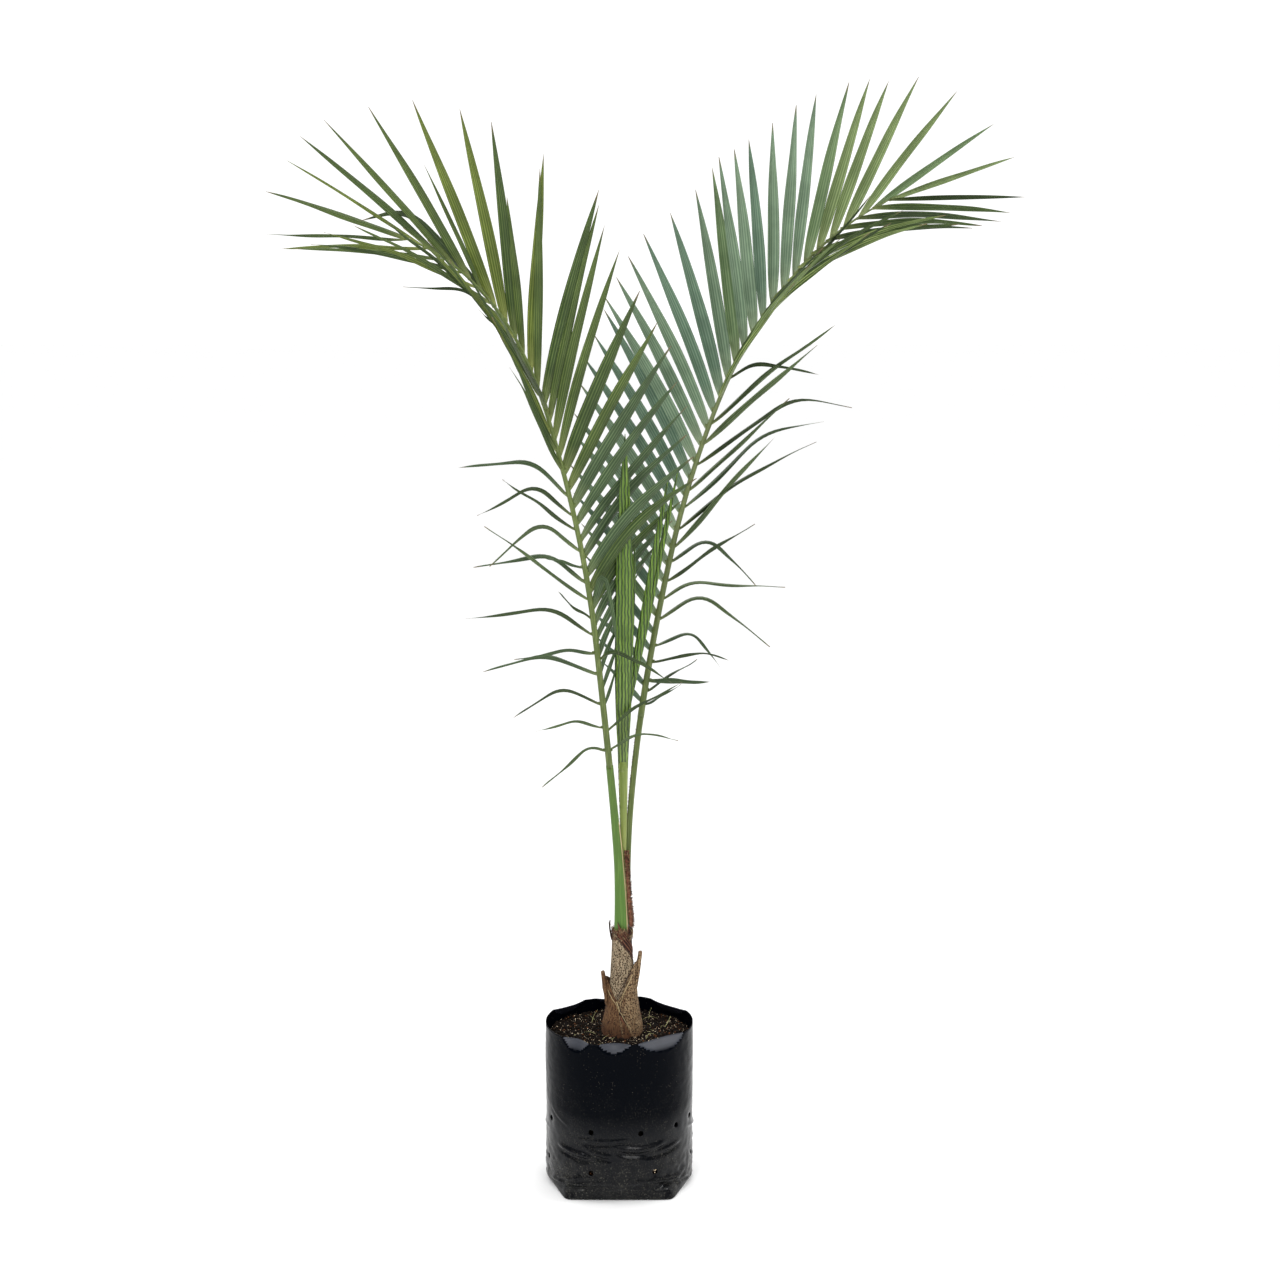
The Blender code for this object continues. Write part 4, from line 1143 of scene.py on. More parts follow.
def rib_points(name):
    """The rib as many short steps, each leaning a little more than the last."""
    frond = FRONDS[name]
    step = frond["length"] / RIB_STEPS
    x, y, z = frond["foot"]
    points = []
    for k in range(RIB_STEPS + 1):
        share = k / RIB_STEPS
        points.append(Vector((x, y + frond["depth"] * share ** DEPTH_POWER, z)))
        lean = math.radians(between(frond["lean"], (k + 0.5) / RIB_STEPS)[1])
        x += frond["side"] * math.sin(lean) * step
        z += math.cos(lean) * step
    return points


RIBS = {name: rib_points(name) for name in FRONDS}
for name in RIBS:
    print(name, "rib ends at", [round(value, 3) for value in RIBS[name][-1]])

# %% Places and directions on a rib
FRAME_REACH = 0.01


def rib_at(name, place):
    """A place on the rib, by its share of the length from the stalk's foot."""
    points = RIBS[name]
    if place < 0.0:
        return points[0] + (points[1] - points[0]).normalized() * place * FRONDS[name]["length"]
    scaled = min(place, 1.0) * RIB_STEPS
    k = min(int(scaled), RIB_STEPS - 1)
    return points[k].lerp(points[k + 1], scaled - k)


def rib_frame(name, place):
    """Directions along the rib, to the leaf's inner side and to its upper face."""
    ahead = rib_at(name, min(place + FRAME_REACH, 1.0))
    behind = rib_at(name, min(place, 1.0 - FRAME_REACH) - FRAME_REACH)
    along = (ahead - behind).normalized()
    side = FRONDS[name]["side"]
    inward = Vector((-side * along.z, 0.0, side * along.x))
    inward = (inward - along * inward.dot(along)).normalized()
    face = along.cross(inward)
    if face.y > 0.0:
        face.negate()
    return along, inward, face


print("left rib's tip points", [round(value, 2) for value in rib_frame("left", 1.0)[0]])

# %% [markdown]
# ## Leaf stalks and ribs
# A stalk is fleshy and smooth at its foot, with a paler tan margin, and carries on
# into the rib that holds the leaflets. Both are tubes drawn along the same curve, a
# little grooved on the upper face, and finished with fine lines that run lengthwise.

# %% Stalk finishes
def stalk_finish(name, low_tone, high_tone, low, high, pale):
    """Smooth green stalk that changes colour between two heights."""
    made, tree, shader = start_finish(name, 0.42, 0.45)
    reach = tree.nodes.new("ShaderNodeMapRange")
    reach.inputs["From Min"].default_value = low
    reach.inputs["From Max"].default_value = high
    tree.links.new(height_of(tree), reach.inputs["Value"])
    body = mixed(tree, reach.outputs["Result"], low_tone, high_tone)
    streaks = cloud(tree, coordinates(tree, "Object", (1.0, 1.0, 0.03)), 520.0, 3.0)
    body = mixed(tree, steps(tree, streaks, (0.50, 0.0), (0.72, 0.75)), body, pale)
    specks = cells(tree, coordinates(tree, "Object", (1.0, 1.0, 0.5)), 420.0)
    body = mixed(tree, steps(tree, specks, (0.05, 0.7), (0.13, 0.0)), body, tint(84, 70, 44))
    tree.links.new(body, shader.inputs["Base Color"])
    raise_by(tree, shader, streaks, 0.0004, 0.5)
    return made


stalk_left = stalk_finish(
    "left_stalk_green", tint(68, 106, 24), tint(76, 94, 34), 0.36, 0.75, tint(94, 128, 46)
)
stalk_right = stalk_finish(
    "right_stalk_green", tint(78, 94, 36), tint(96, 108, 62), 0.42, 1.00, tint(118, 128, 72)
)
rib_left_tone = stalk_finish(
    "left_rib_green", tint(74, 90, 34), tint(94, 110, 52), 0.60, 1.25, tint(124, 136, 76)
)
stalk_centre = stalk_finish(
    "centre_stalk_green", tint(136, 146, 74), tint(96, 116, 44), 0.44, 0.60, tint(158, 168, 96)
)
print("stalk finishes ready")

# %% Drawing a tube along a rib
GROOVE_DEPTH = 0.22
GROOVE_HALF = 0.35


def drawn_along(name, start, end, size, sides, slices):
    """A tube drawn along a rib between two places on it, grooved on its upper face."""
    bm = tube(sides, slices)
    for vert in bm.verts:
        place = start + (end - start) * vert.co.z
        _, inward, face = rib_frame(name, place)
        half_wide, half_deep = size(place)
        groove = 1.0 - GROOVE_DEPTH * math.exp(-((vert.co.x / GROOVE_HALF) ** 2)) * max(vert.co.y, 0.0)
        centre = rib_at(name, place)
        vert.co = centre + inward * vert.co.x * half_wide + face * vert.co.y * half_deep * groove
    return bm


print("groove takes", round(GROOVE_DEPTH * 100.0), "percent of the depth")

# %% Leaf stalks
STALK_SIZES = {  # place, half width, half depth
    "left": ((0.0, 0.0092, 0.0052), (0.08, 0.0066, 0.0050), (0.16, 0.0053, 0.0046), (0.24, 0.0048, 0.0043)),
    "right": ((-0.06, 0.0050, 0.0034), (0.08, 0.0040, 0.0040), (0.24, 0.0042, 0.0042)),
}
LEFT_HIDDEN = 0.010  # share of its length by which the left stalk runs on into the mouth
TAN_FROM = 0.86  # share of the half width past which the margin is tan
TAN_BELOW = 0.50


def tan_side(spot):
    """The right-hand margin of the left stalk, near its foot."""
    place = (spot.z - FRONDS["left"]["foot"][2]) / FRONDS["left"]["length"]
    half = between(STALK_SIZES["left"], place)[1]
    return spot.x - rib_at("left", place).x > half * TAN_FROM and spot.z < TAN_BELOW


for name, tone in (("left", stalk_left), ("right", stalk_right)):
    start = -FRONDS[name]["below"] / FRONDS[name]["length"] - (LEFT_HIDDEN if name == "left" else 0.0)
    shape = drawn_along(name, start, STALK_TOP, lambda place: between(STALK_SIZES[name], place)[1:], 32, 60)
    for face in shape.faces if name == "left" else ():
        if tan_side(face.calc_center_median()):
            face.material_index = 1
    piece(f"leaf_stalk_{name}", shape, [tone, tan_edge], [f"petiole_{name}"])

# %% Leaf ribs
RIB_SIZES = ((0.22, 0.0045), (0.50, 0.0036), (0.75, 0.0025), (0.93, 0.0016), (1.0, 0.0010))
RIB_OVERLAP = 0.004  # the rib starts a little way down inside the stalk


def rib_half(place):
    half = between(RIB_SIZES, place)[1]
    return half, half


for name, tone in (("left", rib_left_tone), ("right", stalk_right)):
    shape = drawn_along(name, STALK_TOP - RIB_OVERLAP, 1.0, rib_half, 14, 110)
    nodes = [f"frond_{name}_lower", f"frond_{name}_upper"]
    piece(f"leaf_rib_{name}", shape, [tone], nodes)

# %% [markdown]
# ## Centre stalk and unopened leaves
# The youngest leaf stands upright with its leaflets still pressed together, so it
# looks like a bright pleated rod. A tube whose outline is waved makes the pleats, and
# dark waves in its colour are painted shade in the folds between them. The stalk below
# it thins out over its foot, which hides the join.

# %% Spear finish
spear_green, spear_tree, spear_shader = start_finish("spear_green", 0.38, 0.5)
spear_place = coordinates(spear_tree, "Object")
spear_up = steps(spear_tree, height_of(spear_tree), (0.58, 0.0), (0.72, 1.0))
spear_body = mixed(spear_tree, spear_up, tint(84, 102, 44), tint(82, 114, 28))
spear_lines = cloud(spear_tree, coordinates(spear_tree, "Object", (1.0, 1.0, 0.02)), 480.0, 3.0)
spear_streaks = steps(spear_tree, spear_lines, (0.44, 0.0), (0.64, 0.7))
spear_body = mixed(spear_tree, spear_streaks, spear_body, tint(122, 152, 58))
# Dark waves across the spear are painted shade in the folds between the pleats.
pleat_painted_shade = steps(spear_tree, lines(spear_tree, spear_place, 76.0, 3.2), (0.16, 0.95), (0.56, 0.0))
spear_body = mixed(spear_tree, pleat_painted_shade, spear_body, tint(32, 54, 14))
spear_tree.links.new(spear_body, spear_shader.inputs["Base Color"])
raise_by(spear_tree, spear_shader, spear_lines, 0.0006, 0.7)
print("spear finish:", len(spear_tree.nodes), "shader nodes")

# %% Centre stalk
CENTRE_STALK = ((0.0060, 0.0040, 0.4250), (0.0054, 0.0030, 0.5700), 0.0030, 0.0066)
CENTRE_STALK_DEPTH = 0.8
CENTRE_STALK_HIDDEN = (0.0082, 0.0062, 0.3530)  # its hidden foot, down in the stem's mouth
SHOULDER = (0.0056, 0.0018, 0.5860)  # the stalk thins out over the foot of the spear
SHOULDER_HALF = (0.0058, 0.0022)
PLEAT_DEPTH = 0.20


def straight_form(foot, tip, size, pleats=0):
    """A straight tube from foot to tip, whose outline may be waved into pleats."""
    foot, tip = Vector(foot), Vector(tip)
    along = (tip - foot).normalized()
    wide = Vector((along.z, 0.0, -along.x)).normalized()
    deep = along.cross(wide)

    def form(spot):
        half_wide, half_deep = size(spot.z)
        wave = 1.0
        if pleats:  # they open out just above the foot, where the stalk ends
            wave += PLEAT_DEPTH * smooth_step(spot.z * 6.0) * math.cos(pleats * math.atan2(spot.y, spot.x))
        return foot.lerp(tip, spot.z) + (wide * spot.x * half_wide + deep * spot.y * half_deep) * wave
    return form


def centre_size(share):
    _, _, low_half, high_half = CENTRE_STALK
    half = low_half + (high_half - low_half) * share
    return half, half * CENTRE_STALK_DEPTH


def shoulder_size(share):
    return [full + (end - full) * smooth_step(share) for full, end in zip(centre_size(1.0), SHOULDER_HALF)]


centre = bmesh.new()
foot, tip = CENTRE_STALK[:2]
add_copy(centre, pattern(tube(20, 24)), straight_form(foot, tip, centre_size))
hidden_form = straight_form(CENTRE_STALK_HIDDEN, foot, lambda share: centre_size(0.0))
add_copy(centre, pattern(tube(20, 8)), hidden_form)
add_copy(centre, pattern(tube(20, 8)), straight_form(tip, SHOULDER, shoulder_size))
piece("centre_stalk", centre, [stalk_centre], ["petiole_centre"])

# %% Unopened spear
PLEATS = 8
SPEAR_FOOT_SHARE = 0.70
SPEAR_TIP_SHARE = 0.03
SPEAR_TAPER = 2.8
SPEAR_BLADES = (  # foot, tip, half width, half depth, share at which it is widest
    ((0.0054, 0.0030, 0.5708), (0.0088, -0.0360, 1.0200), 0.0098, 0.0042, 0.32),
    ((0.0044, 0.0030, 0.6000), (0.0215, -0.0120, 0.8750), 0.0052, 0.0034, 0.30),
    ((0.0060, 0.0020, 0.6200), (0.0657, -0.0080, 0.9669), 0.0042, 0.0030, 0.35),
    ((0.0070, 0.0030, 0.6300), (0.0787, 0.0000, 0.9748), 0.0038, 0.0030, 0.35),
)


def spear_size(half_width, half_depth, widest):
    def size(share):
        if share < widest:
            swell = SPEAR_FOOT_SHARE + (1.0 - SPEAR_FOOT_SHARE) * smooth_step(share / widest)
        else:
            swell = 1.0 - (1.0 - SPEAR_TIP_SHARE) * ((share - widest) / (1.0 - widest)) ** SPEAR_TAPER
        return half_width * swell, half_depth * swell
    return size


spear = bmesh.new()
spear_pattern = pattern(tube(40, 40))
for foot, tip, half_width, half_depth, widest in SPEAR_BLADES:
    size = spear_size(half_width, half_depth, widest)
    add_copy(spear, spear_pattern, straight_form(foot, tip, size, PLEATS))
piece("unopened_spear", spear, [spear_green], ["spear_leaf"])

# %% [markdown]
# ## Fibre strip on the stalk
# The strip is a flat cord with thousands of short stiff hairs. Higher up, the same
# scurf thins out to dark flecks along the edges of the right and the centre stalk.

# %% Fibre strip
FIBRE_PATH = (
    (0.0162, -0.0030, 0.3540), (0.0140, -0.0045, 0.3850),
    (0.0106, -0.0055, 0.4300), (0.0088, -0.0050, 0.4600),
)
FIBRE_HALF = (0.0023, 0.0011)
STRIP_FULLNESS = 1.25  # the loose fibre stands a little wider than its solid
STRIP_HAIRS = 2600
EDGE_HAIRS = 420


def strip_at(share):
    scaled = share * (len(FIBRE_PATH) - 1)
    k = min(int(scaled), len(FIBRE_PATH) - 2)
    return Vector(FIBRE_PATH[k]).lerp(Vector(FIBRE_PATH[k + 1]), scaled - k)


def strip_form(spot):
    rough = 1.0 + 0.5 * noise.noise(Vector((spot.x * 2.0, spot.y * 2.0, spot.z * 40.0)))
    width = Vector((spot.x * FIBRE_HALF[0], spot.y * FIBRE_HALF[1], 0.0))
    return strip_at(spot.z) + width * STRIP_FULLNESS * rough * (1.0 - 0.4 * spot.z)


strip = bmesh.new()
add_copy(strip, pattern(tube(12, 60)), strip_form)
for _ in range(STRIP_HAIRS):
    share = draw.random()
    root = strip_at(share) + Vector((draw.uniform(-0.0028, 0.0028), draw.uniform(-0.0014, 0.0006), 0.0))
    reach = draw.uniform(0.0008, 0.0034)
    leaning = Vector((draw.uniform(-0.6, 1.0), draw.uniform(-0.9, 0.5), draw.uniform(-0.3, 0.9)))
    thick = draw.uniform(0.00016, 0.00036)
    add_hair(strip, root, root + leaning * reach, Vector(), thick, draw.choice(MOSTLY_DARK))
for _ in range(EDGE_HAIRS):  # the stiffest hairs, which bristle from its right edge
    share = draw.random()
    root = strip_at(share) + Vector((FIBRE_HALF[0] * 0.9, draw.uniform(-0.0008, 0.0006), 0.0))
    reach = draw.uniform(0.0016, 0.0038)
    leaning = Vector((1.0, draw.uniform(-0.4, 0.2), draw.uniform(-0.5, 0.9)))
    thick = draw.uniform(0.0004, 0.0007)
    add_hair(strip, root, root + leaning * reach, Vector(), thick, draw.choice((0, 1)))
print("strip so far:", len(strip.faces), "faces")

# %% Scurf on the other two stalks
RIGHT_SCURF = 260
CENTRE_SCURF = 160


def add_scurf(root, out, thick):
    """One dark fleck that stands out of a stalk's edge."""
    reach = draw.uniform(0.0006, 0.0018)
    tip = root + out * reach + Vector((0.0, 0.0, draw.uniform(-0.5, 0.8) * reach))
    add_hair(strip, root, tip, Vector(), thick, draw.choice((0, 1, 1)))


for _ in range(RIGHT_SCURF):  # on the inner edge of the right stalk, thinning out upwards
    place = 0.02 + 0.20 * draw.random() ** 1.6
    _, inward, face = rib_frame("right", place)
    half = between(STALK_SIZES["right"], place)[1]
    root = rib_at("right", place) + inward * half * 0.85 + face * half * 0.5
    add_scurf(root, inward + face * 0.5, draw.uniform(0.0003, 0.0006))
for _ in range(CENTRE_SCURF):  # and on the left edge of the centre stalk
    share = draw.random() ** 1.4
    half = centre_size(share)[0]
    middle = Vector(CENTRE_STALK[0]).lerp(Vector(CENTRE_STALK[1]), share)
    root = middle + Vector((-half * 0.85, -half * 0.4, 0.0))
    add_scurf(root, Vector((-0.8, -0.5, 0.0)), draw.uniform(0.0003, 0.0006))
piece("fibre_strip", strip, fibre_finishes, ["fibre_margin"])

# %% [markdown]
# ## Leaflet finishes
# A palm leaflet is lined with parallel veins. Its map runs across and along the
# blade, so a wave across it gives the veins, and a ramp along it pales the root and
# dries the tip. One half of the blade is painted a little darker than the other: a
# painted shade for one of the two slopes of a folded leaflet in soft light. No two
# leaflets of a palm have quite one green, so several greens are mixed here and dealt
# out leaf by leaf.

# %% Leaflet finishes
def leaflet_finish(name, body, vein, root, roughness=0.42):
    made, tree, shader = start_finish(name, roughness, 0.26)
    across = coordinates(tree, "UV", (1.0, 0.015, 1.0))
    place = coordinates(tree, "Object")
    darker = tuple(value * 0.45 for value in body[:3]) + (1.0,)
    coarse = steps(tree, lines(tree, across, 1.55, 0.8), (0.66, 0.0), (0.98, 0.8))
    fine = steps(tree, lines(tree, across, 3.1, 1.0), (0.05, 0.6), (0.40, 0.0))
    tone = mixed(tree, fine, body, darker)
    tone = mixed(tree, coarse, tone, vein)
    # Random darker patches, from a cloud over the whole frond.
    darker_patches = steps(tree, cloud(tree, place, 26.0, 3.0), (0.40, 0.0), (0.66, 0.45))
    tone = mixed(tree, darker_patches, tone, darker)
    # One half of the blade, by the map across it, is painted darker: painted shade for one slope of the fold.
    split = tree.nodes.new("ShaderNodeSeparateXYZ")
    tree.links.new(coordinates(tree, "UV"), split.inputs["Vector"])
    painted_shade_half = steps(tree, split.outputs["X"], (0.46, 0.0), (0.54, 0.30))
    tone = mixed(tree, painted_shade_half, tone, darker)
    at_root = steps(tree, split.outputs["Y"], (0.0, 0.85), (0.05, 0.35), (0.16, 0.0))
    tone = mixed(tree, at_root, tone, root)
    at_tip = steps(tree, split.outputs["Y"], (0.93, 0.0), (0.985, 0.8))
    tone = mixed(tree, at_tip, tone, tint(122, 104, 80))
    tree.links.new(tone, shader.inputs["Base Color"])
    raise_by(tree, shader, lines(tree, across, 6.5, 1.2), 0.0004, 0.35)
    return made


print("tip colour as light:", [round(value, 3) for value in tint(122, 104, 80)[:3]])

# %% Leaflet greens
LEAF_GREENS = {  # body, vein, root
    "left_deep": (tint(57, 78, 34), tint(106, 124, 68), tint(136, 146, 88)),
    "left_mid": (tint(70, 91, 40), tint(121, 135, 74), tint(138, 146, 88)),
    "left_grey": (tint(61, 82, 50), tint(108, 128, 88), tint(134, 146, 98)),
    "left_olive": (tint(88, 106, 38), tint(144, 154, 78), tint(156, 162, 94)),
    "right_blue": (tint(90, 118, 96), tint(128, 150, 124), tint(144, 158, 128)),
    "right_grey": (tint(104, 129, 102), tint(144, 164, 134), tint(150, 162, 130)),
    "right_mid": (tint(98, 124, 82), tint(138, 158, 112), tint(150, 162, 120)),
    "right_tip": (tint(104, 125, 74), tint(156, 172, 116), tint(160, 170, 116)),
    "right_bright": (tint(88, 112, 56), tint(182, 194, 122), tint(166, 176, 118)),
    "slim_deep": (tint(48, 66, 34), tint(94, 112, 62), tint(124, 134, 82)),
    "slim_pale": (tint(72, 92, 54), tint(126, 142, 94), tint(140, 150, 98)),
}
leaf_finishes = [leaflet_finish(name, *tones) for name, tones in LEAF_GREENS.items()]
leaf_index = {name: k for k, name in enumerate(LEAF_GREENS)}
print(len(leaf_finishes), "leaflet greens")

# %% [markdown]
# ## Where the leaflets stand
# These are the same stops as the solids were made from, written again. The rows are
# the regular leaflets; the singles are the narrow folded ones lower down, which hang
# each in its own way. Angles are in degrees, and a place is a share of the rib.

# %% Regular leaflets
# Each row: how many leaflets, the first one's place, then stops of
# place, angle from the rib, roll, length, width, droop, twist
ROWS = {
    ("left", "inner"): (31, 0.300, (
        (0.300, 28, 38, 0.105, 0.010, 6, 30),
        (0.350, 31, 38, 0.130, 0.013, 10, 20),
        (0.393, 37, 34, 0.163, 0.016, 19, 14),
        (0.440, 41, 30, 0.197, 0.019, 22, 12),
        (0.463, 38, 4, 0.205, 0.020, 24, 12),
        (0.487, 40, 2, 0.211, 0.020, 19, 12),
        (0.510, 49, 30, 0.223, 0.021, 14, 12),
        (0.533, 52, 30, 0.227, 0.018, 6, 12),
        (0.557, 42, 0, 0.230, 0.018, 6, 12),
        (0.580, 40, 0, 0.241, 0.019, 5, 12),
        (0.603, 38, 0, 0.246, 0.019, 5, 12),
        (0.627, 34, 0, 0.257, 0.021, 5, 12),
        (0.650, 29, 0, 0.281, 0.015, 5, 12),
        (0.697, 27, 0, 0.284, 0.015, 5, 12),
        (0.720, 29, 0, 0.281, 0.020, 5, 12),
        (0.743, 22, 0, 0.277, 0.014, 5, 12),
        (0.767, 26, 0, 0.274, 0.017, 5, 12),
        (0.790, 20, 0, 0.202, 0.013, 5, 12),
        (0.813, 25, 0, 0.266, 0.018, 5, 12),
        (0.837, 22, 0, 0.271, 0.017, 5, 12),
        (0.860, 18, 0, 0.276, 0.017, 4, 12),
        (0.883, 18, 0, 0.170, 0.007, 4, 12),
        (0.907, 17, 0, 0.248, 0.013, 4, 14),
        (0.930, 12, 0, 0.236, 0.011, 4, 14),
        (0.953, 10, 0, 0.225, 0.011, 4, 16),
        (0.977, 5, 0, 0.207, 0.005, 4, 20),
        (1.000, -4, 0, 0.181, 0.010, 3, 30),
    )),
    ("left", "outer"): (15, 0.630, (
        (0.630, 26, 80, 0.190, 0.015, 6, 12),
        (0.740, 28, 82, 0.220, 0.016, 6, 12),
        (0.860, 28, 66, 0.225, 0.014, 10, 12),
        (0.930, 28, 44, 0.205, 0.012, 14, 14),
        (0.965, 28, 22, 0.185, 0.010, 8, 16),
        (1.000, 22, 5, 0.175, 0.009, 5, 40),
    )),
    ("right", "inner"): (34, 0.240, (
        (0.240, 50, 5, 0.080, 0.008, 8, 20),
        (0.330, 49, 5, 0.140, 0.013, 6, 14),
        (0.390, 48, 5, 0.195, 0.016, 5, 12),
        (0.460, 46, 5, 0.235, 0.018, 5, 12),
        (0.530, 41, 5, 0.256, 0.019, 5, 12),
        (0.585, 45, 5, 0.250, 0.019, 5, 12),
        (0.620, 43, 5, 0.259, 0.019, 5, 12),
        (0.655, 36, 5, 0.258, 0.020, 5, 12),
        (0.690, 32, 5, 0.268, 0.020, 4, 12),
        (0.747, 36, 5, 0.250, 0.020, 4, 12),
        (0.840, 33, 5, 0.248, 0.019, 4, 12),
        (0.885, 30, 5, 0.244, 0.018, 4, 12),
        (0.920, 29, 5, 0.231, 0.017, 4, 12),
        (0.945, 25, 5, 0.225, 0.015, 4, 12),
        (0.965, 16, 5, 0.218, 0.012, 4, 14),
        (0.980, 6, 5, 0.207, 0.011, 4, 16),
        (1.000, -8, 5, 0.186, 0.010, 3, 20),
    )),
    ("right", "outer"): (15, 0.648, (
        (0.648, 30, 84, 0.200, 0.014, 12, 14),
        (0.700, 36, 82, 0.215, 0.015, 10, 12),
        (0.780, 42, 76, 0.225, 0.016, 10, 12),
        (0.870, 46, 62, 0.220, 0.016, 12, 12),
        (0.930, 44, 48, 0.195, 0.014, 12, 12),
        (0.970, 38, 38, 0.190, 0.013, 8, 14),
        (1.000, 28, 28, 0.180, 0.011, 4, 30),
    )),
}
print("regular leaflets:", sum(row[0] for row in ROWS.values()))

# %% Single leaflets
# Side, place, angle from the rib, roll, length, width, where it folds, droop, twist
SINGLES = {
    "left": (
        ("outer", 0.246, 63, 0, 0.109, 0.008, 0.22, 64, 60),
        ("outer", 0.278, 63, 12, 0.096, 0.008, 0.40, 33, 60),
        ("outer", 0.311, 59, 0, 0.134, 0.009, 0.45, 60, 60),
        ("outer", 0.353, 65, -10, 0.164, 0.010, 0.48, 39, 60),
        ("outer", 0.383, 72, 15, 0.113, 0.010, 0.37, 21, 60),
        ("outer", 0.406, 46, -5, 0.181, 0.011, 0.35, 46, 60),
        ("outer", 0.430, 48, 25, 0.063, 0.008, 0.50, -11, 60),
        ("outer", 0.454, 43, 5, 0.170, 0.010, 0.50, 4, 65),
        ("outer", 0.479, 42, -8, 0.161, 0.011, 0.38, 51, 60),
        ("outer", 0.500, 59, 20, 0.057, 0.008, 0.50, 6, 60),
        ("outer", 0.521, 36, 5, 0.153, 0.011, 0.42, 84, 60),
        ("outer", 0.551, 40, 10, 0.119, 0.010, 0.50, 6, 65),
        ("outer", 0.570, 34, -5, 0.147, 0.011, 0.42, 74, 60),
        ("outer", 0.598, 30, 10, 0.162, 0.012, 0.42, 52, 60),
        ("outer", 0.803, 19, 5, 0.070, 0.007, 0.50, 4, 60),
        ("outer", 0.835, 16, 5, 0.145, 0.009, 0.48, 42, 50),
        ("inner", 0.243, 61, 0, 0.100, 0.008, 0.45, 42, 60),
        ("inner", 0.272, 60, 10, 0.120, 0.009, 0.50, 10, 50),
        ("inner", 0.370, 52, -35, 0.135, 0.011, 0.20, 55, 20),
        ("inner", 0.440, 26, -35, 0.155, 0.014, 0.34, 140, 20),
        ("inner", 0.872, -2, -30, 0.205, 0.015, 0.72, 62, 20),
    ),
    "right": (
        ("outer", 0.238, 54, 10, 0.059, 0.007, 0.50, 4, 60),
        ("outer", 0.256, 49, -15, 0.084, 0.008, 0.50, 5, 60),
        ("outer", 0.272, 82, 10, 0.086, 0.011, 0.50, 4, 30),
        ("outer", 0.296, 69, 10, 0.110, 0.009, 0.72, 30, 55),
        ("outer", 0.316, 57, -5, 0.122, 0.010, 0.47, 76, 60),
        ("outer", 0.351, 44, 5, 0.185, 0.011, 0.37, 77, 60),
        ("outer", 0.378, 43, -10, 0.180, 0.010, 0.25, 42, 65),
        ("outer", 0.402, 43, 15, 0.143, 0.010, 0.50, 4, 60),
        ("outer", 0.428, 42, -5, 0.154, 0.011, 0.40, 82, 60),
        ("outer", 0.446, 28, 10, 0.202, 0.013, 0.50, 3, 50),
        ("outer", 0.471, 36, 5, 0.221, 0.011, 0.48, 14, 62),
        ("outer", 0.499, 31, -5, 0.234, 0.012, 0.64, 33, 60),
        ("outer", 0.524, 31, 15, 0.182, 0.012, 0.50, 4, 62),
        ("outer", 0.559, 36, 5, 0.237, 0.012, 0.66, 51, 60),
        ("outer", 0.588, 30, 25, 0.200, 0.013, 0.50, 6, 60),
        ("outer", 0.617, 27, 10, 0.213, 0.013, 0.50, 10, 55),
        ("outer", 0.679, 31, 20, 0.128, 0.009, 0.32, 47, 50),
        ("outer", 0.772, 9, 25, 0.214, 0.009, 0.50, 0, 60),
    ),
}
print("single leaflets:", sum(len(singles) for singles in SINGLES.values()))

# %% Every leaflet
DROOP_SPREAD = 0.5  # half the share of its length over which a regular leaflet droops
FOLD_SPREAD = 0.18  # the same for a single one
CREASED_FROM = 100.0  # a droop past this angle is a sharp crease
CREASE_SPREAD = 0.07
MIDDLE = 0.5
LAUNCH_SPREAD = 1.5
ROLL_SPREAD = 4.0
LENGTH_SPREAD = 0.02


def leaflet_rows(name):
    """Every leaflet of a frond, and whether it stands by itself."""
    scatter = random.Random(FRONDS[name]["seed"])
    rows = []
    for row in ("inner", "outer"):
        count, first, stops = ROWS[name, row]
        for k in range(count):
            place = first + (1.0 - first) * k / (count - 1)
            _, launch, roll, length, width, droop, twist = between(stops, place)
            launch += scatter.uniform(-LAUNCH_SPREAD, LAUNCH_SPREAD)
            roll += scatter.uniform(-ROLL_SPREAD, ROLL_SPREAD)
            length *= scatter.uniform(1.0 - LENGTH_SPREAD, 1.0 + LENGTH_SPREAD)
            rows.append((row, place, launch, roll, length, width, MIDDLE, droop, twist, DROOP_SPREAD, False))
    for single in SINGLES[name]:
        droop = single[7]
        rows.append(single + (CREASE_SPREAD if droop > CREASED_FROM else FOLD_SPREAD, True))
    return rows


print("leaflets:", {name: len(leaflet_rows(name)) for name in FRONDS})

# %% [markdown]
# ## Making the leaflets
# A leaflet is one grid, four faces wide, folded along its middle like a shallow roof
# and drawn out to a hair at its tip. The heading turns downwards along its length,
# which is the droop. A small swelling of the rib's own green joins each one to it.

# %% Outline of a leaflet
BLADE_SCALE = 2.226
BLADE_ROOT = 0.02
BLADE_SWELL = 0.45
BLADE_TAPER = 0.95
FINE_TIP = 0.022  # the solids end in a blunter tip, 0.05 of the width


def leaf_swell(share):
    """Outline of a leaflet: a narrow root, widest near a third, a fine tip."""
    swell = (share + BLADE_ROOT) ** BLADE_SWELL * max(1.0 - share, 0.0) ** BLADE_TAPER
    return BLADE_SCALE * swell + FINE_TIP


print("a third of the way up a leaflet has", round(leaf_swell(1.0 / 3.0), 2), "of its width")

# %% Form of a leaflet
LEAF_STEPS = 52
KEEL = {"left": 28.0, "right": -26.0}  # fold along the middle, in degrees
DEEPER_KEEL = 1.7  # outer and single leaflets are folded more
RIPPLE = 0.0009
EDGE_WAVE = 0.0006
TIP_SWAY = 0.004
SIDE_SWAY = 0.0025


